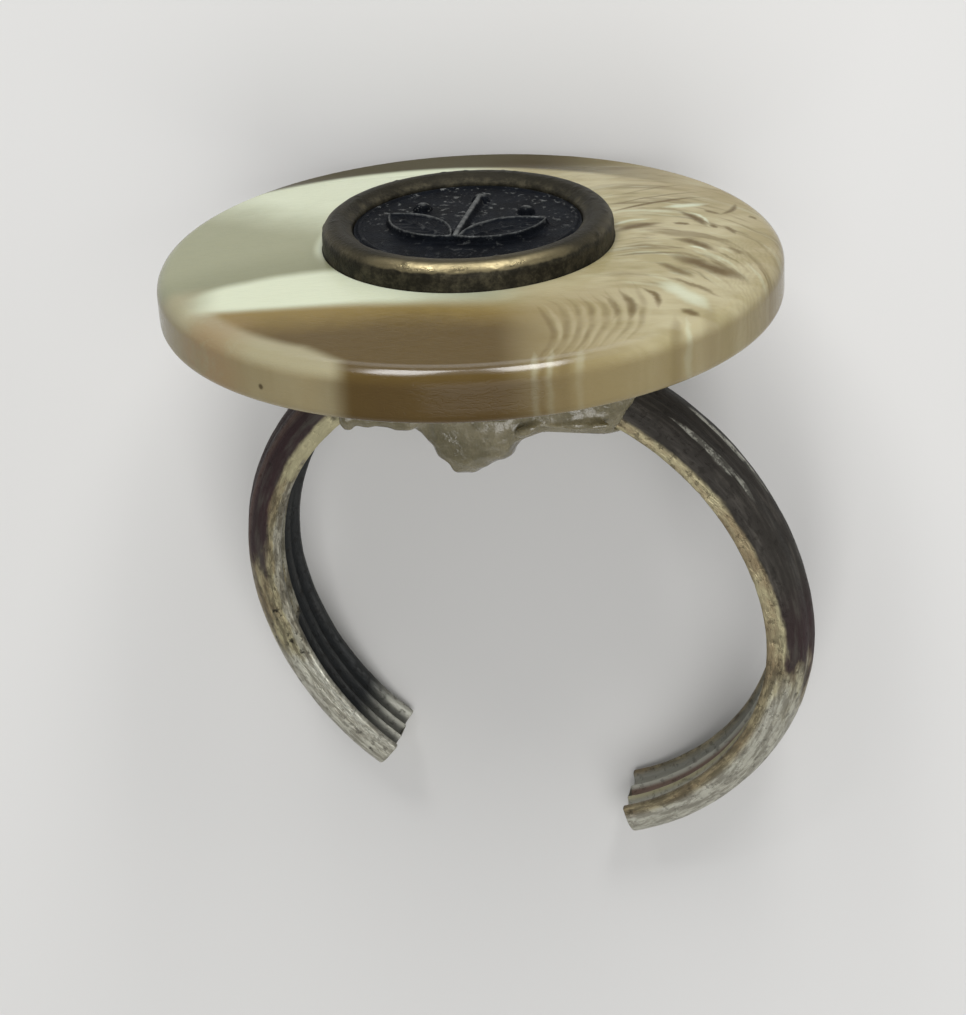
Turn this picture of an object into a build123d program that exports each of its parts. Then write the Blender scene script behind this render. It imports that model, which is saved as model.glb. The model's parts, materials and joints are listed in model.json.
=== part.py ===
"""Button ring: a thick round plastic button with a bronze-rimmed metal inset, glued on an open reeded hoop.

The ring is drawn as it is worn: the finger runs along Y, the button looks up along Z, and the
origin of the drawing is the middle of the finger hole. At the end every piece is laid on its side,
as the ring lies when it is put down: on the back edge of the button and the two ends of the hoop.
"""
import os
from math import acos, atan2, cos, degrees, radians, sin, sqrt

from build123d import *

os.makedirs("parts", exist_ok=True)

# Button: one inch across, with a slightly domed face
button_diameter = 25.4
button_edge_height = 2.08
button_edge_radius = 0.42
button_dome_height = 0.6
button_offset_left = 1.66
button_offset_front = 0.33

# Bronze rim let into the middle of the button's face
rim_diameter = 11.8
rim_height = 1.12
rim_shoulder_radius = 0.58
rim_crest_width = 0.2
rim_wall_width = 1.25
rim_ledge_width = 1.1
rim_ledge_height = 0.2
rim_recess_depth = 0.35

# Pressed metal plate inside the rim
plate_depth = 0.45
plate_crown_height = 0.12
relief_height = 0.2
leaf_length = 4.3
leaf_width = 2.1
leaf_spread_angle = 52.0
leaf_edge_width = 0.3
leaf_edge_height = 0.1
stem_length = 5.0
stem_width = 0.5
bud_diameter = 0.75
bud_count = 3

# Hoop: the finger hole is an oval of four arcs, pulled a little askew when the hoop was opened
hole_short_radius = 9.6
hole_stretch_length = 1.44
hole_end_offset = 0.78
hole_lean_angle = -39.1
hoop_right_end_angle = -34.7
hoop_left_end_angle = 270.8

# Section of the hoop: three reeds outside, three shallow grooves inside
band_width = 3.25
band_edge_height = 0.76
band_crown_height = 1.12
band_corner_radius = 0.12
reed_valley_offset = 0.56
reed_valley_depth = 0.1
reed_bulge_height = 0.05
lip_width = 0.3
groove_depth = 0.36
ridge_offset = 0.45
ridge_depth = 0.08

# Glue between the button and the hoop, which also fills the top of the finger hole and hangs in a drip
glue_thickness = 1.48
glue_flank_width = 0.75
glue_left_length = 7.0
glue_right_length = 5.5
glue_spread_width = 0.9
glue_fill_depth = 1.95
glue_tuck_depth = 0.75
glue_edge_radius = 0.45
drip_height = 1.85
drip_half_length = 2.25
drip_half_width = 1.35
drip_offset_left = 0.95
drip_offset_front = 0.35

# Gap kept between neighbouring pieces
seat_gap = 0.04

# Half the length of the finger hole along its long axis
hole_long_radius = hole_short_radius + hole_stretch_length

# How closely the resting position is worked out
outline_samples = 90
resting_rounds = 25


def draw_hole_outline():
    """The oval of the finger hole, from the right end round over the top to the left end."""
    tight_radius = hole_short_radius - hole_end_offset
    tight_offset = hole_long_radius - tight_radius
    wide_offset = (tight_offset**2 - hole_end_offset**2) / (2 * hole_end_offset)
    wide_radius = hole_short_radius + wide_offset
    junction = degrees(atan2(wide_offset, tight_offset))
    # direction of the centre from the middle, its distance, the radius, first and last angle;
    # all angles are counted from the oval's long axis
    hole_arcs = (
        (0, tight_offset, tight_radius, hoop_right_end_angle, junction),
        (270, wide_offset, wide_radius, junction, 180 - junction),
        (180, tight_offset, tight_radius, 180 - junction, 180 + junction),
        (90, wide_offset, wide_radius, 180 + junction, hoop_left_end_angle),
    )
    for direction, offset_to_centre, radius, first, last in hole_arcs:
        turned = radians(direction + hole_lean_angle)
        centre = (offset_to_centre * cos(turned), offset_to_centre * sin(turned))
        CenterArc(centre, radius, first + hole_lean_angle, last - first)


def arch_rise(across):
    """How far the hoop's arched outside stands above its edges at a distance from the middle line."""
    half_width = band_width / 2
    arch_radius = (half_width**2 + band_crown_height**2) / (2 * band_crown_height)
    return sqrt(arch_radius**2 - across**2) - (arch_radius - band_crown_height)


# Line that the hoop's section follows: the edge of the finger hole
with BuildLine(Plane.XZ) as hoop_path:
    draw_hole_outline()

path_start = hoop_path.line @ 0
path_end = hoop_path.line @ 1
start_tangent = hoop_path.line % 0
end_tangent = hoop_path.line % 1


def section_plane(point, tangent):
    """Plane across the hoop: its x runs away from the finger, its y towards the back."""
    outward = Vector(tangent.Z, 0, -tangent.X)
    return Plane(origin=point, x_dir=outward, z_dir=tangent)


# Section of the hoop, as it is at the right end
half_band = band_width / 2
groove_edge = half_band - lip_width
valley_height = band_edge_height + arch_rise(reed_valley_offset) - reed_valley_depth
side_reed_middle = (half_band + reed_valley_offset) / 2
side_reed_height = band_edge_height + arch_rise(side_reed_middle) + reed_bulge_height
side_groove_middle = (groove_edge + ridge_offset) / 2

with BuildSketch(section_plane(path_start, start_tangent)) as band_section:
    with BuildLine():
        # outside, from the front edge over the three reeds to the back edge
        Line((0, -half_band), (band_edge_height, -half_band))
        ThreePointArc(
            (band_edge_height, -half_band),
            (side_reed_height, -side_reed_middle),
            (valley_height, -reed_valley_offset),
        )
        ThreePointArc(
            (valley_height, -reed_valley_offset),
            (band_edge_height + band_crown_height, 0),
            (valley_height, reed_valley_offset),
        )
        ThreePointArc(
            (valley_height, reed_valley_offset),
            (side_reed_height, side_reed_middle),
            (band_edge_height, half_band),
        )
        Line((band_edge_height, half_band), (0, half_band))
        # inside, from the back lip through the three grooves to the front lip
        Line((0, half_band), (0, groove_edge))
        ThreePointArc((0, groove_edge), (groove_depth, side_groove_middle), (ridge_depth, ridge_offset))
        ThreePointArc((ridge_depth, ridge_offset), (groove_depth, 0), (ridge_depth, -ridge_offset))
        ThreePointArc((ridge_depth, -ridge_offset), (groove_depth, -side_groove_middle), (0, -groove_edge))
        Line((0, -groove_edge), (0, -half_band))
    make_face()
    edge_corners = vertices().group_by(Axis.Y)
    fillet(edge_corners[0] + edge_corners[-1], radius=band_corner_radius)

with BuildPart() as ring_band:
    sweep(sections=band_section.sketch, path=hoop_path.line)

# Where the button sits: its back face lies the glue's thickness above the top of the hoop
hole_top = hoop_path.line.bounding_box().max.Z
hoop_top = hole_top + band_edge_height + band_crown_height
button_back = hoop_top + glue_thickness
face_edge_height = button_back + button_edge_height
button_radius = button_diameter / 2
button_middle = Vector(-button_offset_left, -button_offset_front, face_edge_height)
button_axis = Axis(button_middle, (0, 0, 1))
button_profile_plane = Plane(origin=button_middle, x_dir=(1, 0, 0), z_dir=(0, -1, 0))


def face_rise(from_middle):
    """Height of the button's domed face above its edge, at a distance from the middle."""
    dome_radius = (button_radius**2 + button_dome_height**2) / (2 * button_dome_height)
    return sqrt(dome_radius**2 - from_middle**2) - (dome_radius - button_dome_height)


# Heights of the inset, counted from the button's edge
rim_radius = rim_diameter / 2
opening_radius = rim_radius - rim_wall_width
rim_foot = face_rise(rim_radius)
rim_seat = rim_foot - rim_recess_depth
rim_crest = rim_foot + rim_height
rim_bottom = rim_seat + seat_gap
ledge_top = rim_bottom + rim_ledge_height
ledge_radius = opening_radius - rim_ledge_width
plate_top = rim_crest - plate_depth
recess_radius = rim_radius + seat_gap
shoulder_reach = rim_radius - rim_shoulder_radius
crest_inner_radius = shoulder_reach - rim_crest_width

with BuildPart() as button_disc:
    with BuildSketch(button_profile_plane):
        with BuildLine():
            face_half_way = (button_radius + recess_radius) / 2
            Polyline(
                (recess_radius, face_rise(recess_radius)),
                (recess_radius, rim_seat),
                (0, rim_seat),
                (0, -button_edge_height),
                (button_radius, -button_edge_height),
                (button_radius, 0),
            )
            ThreePointArc(
                (button_radius, 0),
                (face_half_way, face_rise(face_half_way)),
                (recess_radius, face_rise(recess_radius)),
            )
        make_face()
        fillet(vertices().group_by(Axis.X)[-1], radius=button_edge_radius)
    revolve(axis=button_axis)

with BuildPart() as inset_rim:
    with BuildSketch(button_profile_plane):
        with BuildLine():
            shoulder_top = (shoulder_reach, rim_crest)
            shoulder_side = (rim_radius, rim_crest - rim_shoulder_radius)
            Polyline(
                (crest_inner_radius, rim_crest),
                (opening_radius, plate_top + plate_crown_height),
                (opening_radius, ledge_top),
                (ledge_radius, ledge_top),
                (ledge_radius, rim_bottom),
                (rim_radius, rim_bottom),
                shoulder_side,
            )
            RadiusArc(shoulder_side, shoulder_top, -rim_shoulder_radius)
            Line(shoulder_top, (crest_inner_radius, rim_crest))
        make_face()
    revolve(axis=button_axis)

# Plate: a shallow dome that rests on the rim's ledge, with a generic sprig raised on it
plate_radius = opening_radius - seat_gap
plate_bottom = ledge_top + seat_gap
plate_floor_plane = Plane(origin=button_middle + Vector(0, 0, plate_bottom))
relief_plane = Plane(origin=button_middle + Vector(0, 0, plate_top - relief_height))
relief_level = 2 * relief_height + plate_crown_height
stem_foot = -stem_length / 2
leaf_tip = stem_foot + leaf_length


def draw_leaf_outline():
    """The outline of a pointed leaf that stands on the sketch's origin."""
    ThreePointArc((0, 0), (leaf_width / 2, leaf_length / 2), (0, leaf_length))
    ThreePointArc((0, leaf_length), (-leaf_width / 2, leaf_length / 2), (0, 0))


with BuildPart() as inset_plate:
    with BuildSketch(button_profile_plane):
        with BuildLine():
            Polyline(
                (0, plate_top + plate_crown_height),
                (0, plate_bottom),
                (plate_radius, plate_bottom),
                (plate_radius, plate_top),
            )
            ThreePointArc(
                (plate_radius, plate_top),
                (plate_radius / 2, plate_top + plate_crown_height * 3 / 4),
                (0, plate_top + plate_crown_height),
            )
        make_face()
    revolve(axis=button_axis)
    # two broad leaves that spread from the foot of the stem, each with a raised edge
    for lean in (-leaf_spread_angle, leaf_spread_angle):
        leaf_plane = relief_plane * Location((0, stem_foot, 0), (0, 0, lean))
        with BuildSketch(leaf_plane):
            with BuildLine():
                draw_leaf_outline()
            make_face()
        extrude(amount=relief_level)
        with BuildSketch(leaf_plane):
            with BuildLine():
                draw_leaf_outline()
            make_face()
            offset(amount=-leaf_edge_width, mode=Mode.SUBTRACT)
        extrude(amount=relief_level + leaf_edge_height)
    # the stem, with one bud at its tip and one on each side of it
    with BuildSketch(relief_plane):
        with Locations((0, stem_foot + stem_length / 2)):
            SlotCenterToCenter(stem_length - stem_width, stem_width, rotation=90)
        with PolarLocations(bud_diameter, bud_count, start_angle=30, angular_range=120, endpoint=True):
            with Locations((stem_length / 2 - bud_diameter, 0)):
                Circle(bud_diameter / 2)
    extrude(amount=relief_level + leaf_edge_height)

# Glue: it spreads on the button's back, wraps the top of the hoop and tucks in inside the finger hole
glue_top = button_back - seat_gap
glue_bottom = hole_top - glue_fill_depth
glue_drop = glue_top - glue_bottom
glue_half_length = (glue_left_length + glue_right_length) / 2
glue_half_width = half_band + glue_flank_width
glue_centre = (glue_right_length - glue_left_length) / 2
clear_half = half_band + seat_gap
clear_crown = band_edge_height + band_crown_height + seat_gap + 3 * reed_bulge_height
# place below the button as a share of the glue's drop, and growth of both half sizes
# as a share of the spread
glue_rows = (
    (0.0, 1.0),
    (0.22, 0.2),
    (0.62, 0.0),
)
# place below the glue, shift to the left, and half sizes across and front to back,
# as shares of the drip's
drip_rows = (
    (0.0, 0.0, 1.0, 1.0),
    (0.5, 0.2, 0.72, 0.8),
    (1.0, 0.35, 0.3, 0.4),
)

with BuildPart() as glue_pad:
    for drop, growth in glue_rows:
        half_length = glue_half_length + growth * glue_spread_width
        half_width = glue_half_width + growth * glue_spread_width
        with BuildSketch(Plane.XY.offset(glue_top - drop * glue_drop)):
            with Locations((glue_centre, 0)):
                RectangleRounded(2 * half_length, 2 * half_width, glue_half_width - glue_edge_radius)
    with BuildSketch(Plane.XY.offset(glue_bottom)):
        with Locations((glue_centre, 0)):
            RectangleRounded(
                2 * (glue_half_length - glue_tuck_depth),
                2 * (glue_half_width - glue_tuck_depth),
                glue_half_width - glue_tuck_depth - glue_edge_radius,
            )
    loft()
    for drop, shift, reach, depth in drip_rows:
        with BuildSketch(Plane.XY.offset(glue_bottom - drop * drip_height)):
            with Locations((-drip_offset_left - shift * drip_half_length, -drip_offset_front)):
                Ellipse(reach * drip_half_length, depth * drip_half_width)
    loft()
    with BuildSketch(section_plane(path_start, start_tangent)) as hoop_clearance:
        with BuildLine():
            Polyline(
                (band_edge_height, -clear_half),
                (-seat_gap, -clear_half),
                (-seat_gap, clear_half),
                (band_edge_height, clear_half),
            )
            ThreePointArc((band_edge_height, clear_half), (clear_crown, 0), (band_edge_height, -clear_half))
        make_face()
    sweep(sections=hoop_clearance.sketch, path=hoop_path.line, mode=Mode.SUBTRACT)


def lowest(points, up):
    """The point that lies lowest when up is the upward direction."""
    return min(points, key=lambda point: point.dot(up))


def button_foot(up):
    """Lowest point of the button's rounded back edge."""
    sideways = (Vector(0, 0, up.Z) - up).normalized()
    down_along_axis = Vector(0, 0, -1 if up.Z > 0 else 1)
    edge_middle = button_middle - Vector(0, 0, button_edge_height / 2)
    core = edge_middle + sideways * (button_radius - button_edge_radius)
    core += down_along_axis * (button_edge_height / 2 - button_edge_radius)
    return core - up * button_edge_radius


# Resting position: the floor passes through the lowest points of the hoop's two ends and of the button's
# edge, and is turned until those three points stay the same
section_outline = band_section.sketch_local.face().outer_wire()
outline_points = [section_outline @ (count / outline_samples) for count in range(outline_samples)]
right_end_plane = section_plane(path_start, start_tangent)
left_end_plane = section_plane(path_end, end_tangent)
right_end_points = [right_end_plane.from_local_coords(point) for point in outline_points]
left_end_points = [left_end_plane.from_local_coords(point) for point in outline_points]
up = Vector(0, -1, 0)
for resting_round in range(resting_rounds):
    right_foot = lowest(right_end_points, up)
    left_foot = lowest(left_end_points, up)
    floor_normal = (right_foot - left_foot).cross(button_foot(up) - left_foot).normalized()
    up = floor_normal if floor_normal.dot(up) > 0 else -floor_normal

pieces = (button_disc, inset_rim, inset_plate, ring_band, glue_pad)
laid_on_side = Plane(origin=(0, 0, 0), x_dir=Vector(1, 0, 0) - up * up.X, z_dir=up).location.inverse()
laid_box = Compound([piece.part.moved(laid_on_side) for piece in pieces]).bounding_box()
box_middle = laid_box.center()
onto_floor = Location((-box_middle.X, -box_middle.Y, -laid_box.min.Z)) * laid_on_side
for piece in pieces:
    piece.part.move(onto_floor)

button_disc.part.label = "button_disc"
inset_rim.part.label = "inset_rim"
inset_plate.part.label = "inset_plate"
ring_band.part.label = "ring_band"
glue_pad.part.label = "glue_pad"

export_step(button_disc.part, "parts/button_disc.step")
export_step(inset_rim.part, "parts/inset_rim.step")
export_step(inset_plate.part, "parts/inset_plate.step")
export_step(ring_band.part, "parts/ring_band.step")
export_step(glue_pad.part, "parts/glue_pad.step")

size = laid_box.size
print("laid size", round(size.X, 2), round(size.Y, 2), round(size.Z, 2))
print("tilt from upright finger axis", round(degrees(acos(-up.Y)), 2))
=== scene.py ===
"""Button ring in its finishes: a swirled plastic button with a bronze-rimmed plate on an open hoop."""

import json
import logging
import math
from dataclasses import dataclass
from enum import Enum
from typing import Dict, List, Sequence, Tuple, Union

import bmesh
import bpy
import numpy as np
from mathutils import Matrix, Vector, noise


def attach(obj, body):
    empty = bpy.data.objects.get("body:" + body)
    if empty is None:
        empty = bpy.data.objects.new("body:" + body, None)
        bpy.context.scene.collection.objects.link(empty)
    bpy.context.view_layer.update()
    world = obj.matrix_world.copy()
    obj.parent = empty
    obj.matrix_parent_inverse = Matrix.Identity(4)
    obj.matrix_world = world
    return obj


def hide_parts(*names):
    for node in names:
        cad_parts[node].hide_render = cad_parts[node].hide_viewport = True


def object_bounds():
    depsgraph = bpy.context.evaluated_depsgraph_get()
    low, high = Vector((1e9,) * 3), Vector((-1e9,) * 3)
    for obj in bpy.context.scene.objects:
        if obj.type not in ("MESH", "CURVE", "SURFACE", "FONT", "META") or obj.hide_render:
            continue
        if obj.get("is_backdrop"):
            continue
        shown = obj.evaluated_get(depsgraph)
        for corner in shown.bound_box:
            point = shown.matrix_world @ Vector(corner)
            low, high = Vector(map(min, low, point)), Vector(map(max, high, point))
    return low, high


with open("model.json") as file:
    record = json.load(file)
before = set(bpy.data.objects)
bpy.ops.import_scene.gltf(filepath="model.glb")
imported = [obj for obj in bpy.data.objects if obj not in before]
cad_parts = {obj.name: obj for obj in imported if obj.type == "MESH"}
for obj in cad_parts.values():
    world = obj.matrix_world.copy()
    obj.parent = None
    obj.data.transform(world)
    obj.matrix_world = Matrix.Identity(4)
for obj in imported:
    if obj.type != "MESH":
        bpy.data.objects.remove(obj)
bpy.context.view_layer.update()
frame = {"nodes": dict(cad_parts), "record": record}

log = logging.getLogger("button_ring")

MILLIMETRE = 0.001
SHARP_ANGLE = 55.0

# Middle of the button's face in the worn frame, and how far its pattern is turned
BUTTON_MIDDLE = (-1.66, -0.33, 15.66)
BUTTON_TURN = 13.6

Tint = Tuple[float, float, float]
Point2 = Tuple[float, float]
Point3 = Tuple[float, float, float]
Span = Tuple[float, float]


class Slot(Enum):
    """The record's material slots."""

    BUTTON = "button_plastic"
    RIM = "rim_bronze"
    PLATE = "plate_metal"
    HOOP = "hoop_metal"
    GLUE = "glue"


class Trait(Enum):
    """Attributes that the meshes carry for their finishes."""

    ALONG = "along"
    TO_END = "to_end"
    SECTION = "section"
    PIT = "pit"
    RELIEF = "relief"


# Frames and outlines


@dataclass(frozen=True)
class Placement:
    """A frame in which a piece is drawn in millimetres, placed in the scene.

    Attributes:
        matrix: takes a point in this frame's millimetres to the scene's metres.
    """

    matrix: Matrix

    @classmethod
    def worn(cls, record: dict) -> "Placement":
        """The ring as it is worn: x right, y back along the finger, z up through the button.

        Args:
            record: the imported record, whose finger hole gives the place and the finger's axis.

        Returns:
            The worn frame, with its origin in the middle of the finger hole.
        """
        mount = next(m for m in record["mounts"] if m["name"] == "finger_hole")
        back = Vector(mount["axis"]).normalized()
        right = Vector((-back.z, 0.0, back.x)).normalized()
        up = right.cross(back)
        turn = Matrix((right, back, up)).transposed().to_4x4()
        return cls(Matrix.Translation(mount["pos_m"]) @ turn @ Matrix.Scale(MILLIMETRE, 4))

    def moved(self, offset: Sequence[float], turn: float = 0.0) -> "Placement":
        """The same frame with its origin moved and then turned about its own z.

        Args:
            offset: the new origin, in this frame's millimetres.
            turn: degrees about z.

        Returns:
            The new frame.
        """
        local = Matrix.Translation(offset) @ Matrix.Rotation(math.radians(turn), 4, "Z")
        return Placement(self.matrix @ local)

    def standing(self) -> "Placement":
        """The frame whose x and y are this one's x and z, for an outline drawn from the front."""
        return Placement(self.matrix @ Matrix.Rotation(math.radians(90.0), 4, "X"))

    def point(self, place: Sequence[float]) -> Vector:
        """A point of this frame in the scene's metres."""
        return self.matrix @ Vector(place)

    def direction(self, way: Sequence[float]) -> Vector:
        """A direction of this frame in the scene, of length one."""
        return (self.matrix.to_3x3() @ Vector(way)).normalized()


def straight(start: Point2, end: Point2, step: float) -> np.ndarray:
    """Points along a straight line, without its last one.

    Args:
        start: its start.
        end: its end.
        step: about how far apart.

    Returns:
        The points.
    """
    count = max(1, round(math.dist(start, end) / step))
    share = np.arange(count)[:, None] / count
    return np.asarray(start) * (1 - share) + np.asarray(end) * share


def arc(centre: Point2, radius: float, first: float, last: float, step: float) -> np.ndarray:
    """Points along an arc between two angles in degrees, without its last one.

    Args:
        centre: its middle.
        radius: its radius.
        first: its first angle.
        last: its last angle.
        step: about how far apart.

    Returns:
        The points.
    """
    count = max(2, round(radius * math.radians(abs(last - first)) / step))
    angles = np.radians(first + (last - first) * np.arange(count) / count)
    return np.asarray(centre) + radius * np.column_stack((np.cos(angles), np.sin(angles)))


def bow(start: Point2, middle: Point2, end: Point2, step: float) -> np.ndarray:
    """Points along the arc through three points, without its last one.

    Args:
        start: its start.
        middle: a point on its way.
        end: its end.
        step: about how far apart.

    Returns:
        The points.
    """
    a, b, c = (np.asarray(p, float) for p in (start, middle, end))
    system = 2 * np.array([b - a, c - a])
    centre = np.linalg.solve(system, [b @ b - a @ a, c @ c - a @ a])
    first, halfway, last = (math.degrees(math.atan2(*(p - centre)[::-1])) for p in (a, b, c))
    halfway = first + (halfway - first + 180) % 360 - 180
    last = halfway + (last - halfway + 180) % 360 - 180
    return arc(tuple(centre), float(np.linalg.norm(a - centre)), first, last, step)


def softened(outline: np.ndarray, reach: float, step: float) -> np.ndarray:
    """A closed outline with its corners worn round.

    Args:
        outline: the points, in order.
        reach: how far the rounding reaches along the outline.
        step: distance between the new points.

    Returns:
        Evenly spaced points on the rounded outline.
    """
    closed = np.vstack((outline, outline[:1]))
    lengths = np.concatenate(([0.0], np.cumsum(np.linalg.norm(np.diff(closed, axis=0), axis=1))))
    count = round(lengths[-1] / step)
    places = np.arange(count) * lengths[-1] / count
    even = np.column_stack([np.interp(places, lengths, closed[:, axis]) for axis in (0, 1)])
    offsets = np.arange(-3 * math.ceil(reach / step), 3 * math.ceil(reach / step) + 1)
    weights = np.exp(-0.5 * (offsets * step / reach) ** 2)
    weights /= weights.sum()
    return sum(weight * np.roll(even, -offset, axis=0) for weight, offset in zip(weights, offsets))


def rise(radius: float, height: float, across: Union[float, np.ndarray]) -> Union[float, np.ndarray]:
    """Height of a shallow dome or arch above its edge.

    Args:
        radius: half the width of the arch.
        height: its height in the middle.
        across: distance from the middle.

    Returns:
        The height there.
    """
    sphere = (radius**2 + height**2) / (2 * height)
    return np.sqrt(sphere**2 - np.asarray(across, float) ** 2) - (sphere - height)


# Meshes


def outline_object(name: str, points: np.ndarray, closed: bool) -> bpy.types.Object:
    """A curve object of straight runs through flat points.

    Args:
        name: the object's name.
        points: x and y of each point.
        closed: whether the last point joins the first.

    Returns:
        The curve, linked to the scene.
    """
    data = bpy.data.curves.new(name, "CURVE")
    data.dimensions = "3D"
    data.twist_mode = "Z_UP"
    spline = data.splines.new("POLY")
    spline.points.add(len(points) - 1)
    flat = np.column_stack((points, np.zeros(len(points)), np.ones(len(points))))
    spline.points.foreach_set("co", flat.ravel())
    spline.use_cyclic_u = closed
    made = bpy.data.objects.new(name, data)
    bpy.context.scene.collection.objects.link(made)
    return made


def tidy_shell(mesh: bpy.types.Mesh) -> None:
    """Closes the open ends of a shell and turns its faces outwards.

    Args:
        mesh: the shell.
    """
    shell = bmesh.new()
    shell.from_mesh(mesh)
    open_edges = [edge for edge in shell.edges if edge.is_boundary]
    if open_edges:
        caps = bmesh.ops.holes_fill(shell, edges=open_edges, sides=0)["faces"]
        bmesh.ops.triangulate(shell, faces=caps)
    bmesh.ops.recalc_face_normals(shell, faces=shell.faces)
    if shell.calc_volume(signed=True) < 0:
        bmesh.ops.reverse_faces(shell, faces=shell.faces)
    shell.to_mesh(mesh)
    shell.free()


def solid_object(name: str, mesh: bpy.types.Mesh, placement: Placement) -> bpy.types.Object:
    """A finished piece, its mesh moved from its drawing frame into the scene.

    Args:
        name: the piece's name.
        mesh: its mesh, in the drawing frame's millimetres.
        placement: the drawing frame.

    Returns:
        The object, at the scene's origin and smooth shaded.
    """
    mesh.name = name
    mesh.transform(placement.matrix)
    tidy_shell(mesh)
    mesh.polygons.foreach_set("use_smooth", np.ones(len(mesh.polygons), bool))
    mesh.set_sharp_from_angle(angle=math.radians(SHARP_ANGLE))
    made = bpy.data.objects.new(name, mesh)
    bpy.context.scene.collection.objects.link(made)
    return made


def join_frame(piece: bpy.types.Object, node: str) -> None:
    """Makes a finished piece stand for its node of the frame.

    Args:
        piece: the piece.
        node: the node's name.
    """
    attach(piece, "root")
    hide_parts(node)
    log.info("%s: %d faces, stands for %s", piece.name, len(piece.data.polygons), node)


# Node graphs


class Field:
    """A value that varies over a surface, in one node graph, and can be reckoned with like a number."""

    def __init__(self, graph: "Graph", socket: bpy.types.NodeSocket) -> None:
        """Keeps the graph and the socket that gives the value."""
        self.graph = graph
        self.socket = socket

    def __add__(self, other: "Amount") -> "Field":
        """The sum."""
        return self.graph.math("ADD", self, other)

    def __sub__(self, other: "Amount") -> "Field":
        """The difference."""
        return self.graph.math("SUBTRACT", self, other)

    def __rsub__(self, other: "Amount") -> "Field":
        """The difference, the other way round."""
        return self.graph.math("SUBTRACT", other, self)

    def __mul__(self, other: "Amount") -> "Field":
        """The product."""
        return self.graph.math("MULTIPLY", self, other)

    def __truediv__(self, other: "Amount") -> "Field":
        """The quotient."""
        return self.graph.math("DIVIDE", self, other)

    def __rtruediv__(self, other: "Amount") -> "Field":
        """The quotient, the other way round."""
        return self.graph.math("DIVIDE", other, self)

    def __abs__(self) -> "Field":
        """The value without its sign."""
        return self.graph.math("ABSOLUTE", self)

    __radd__ = __add__
    __rmul__ = __mul__


Amount = Union[float, Field]


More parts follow.
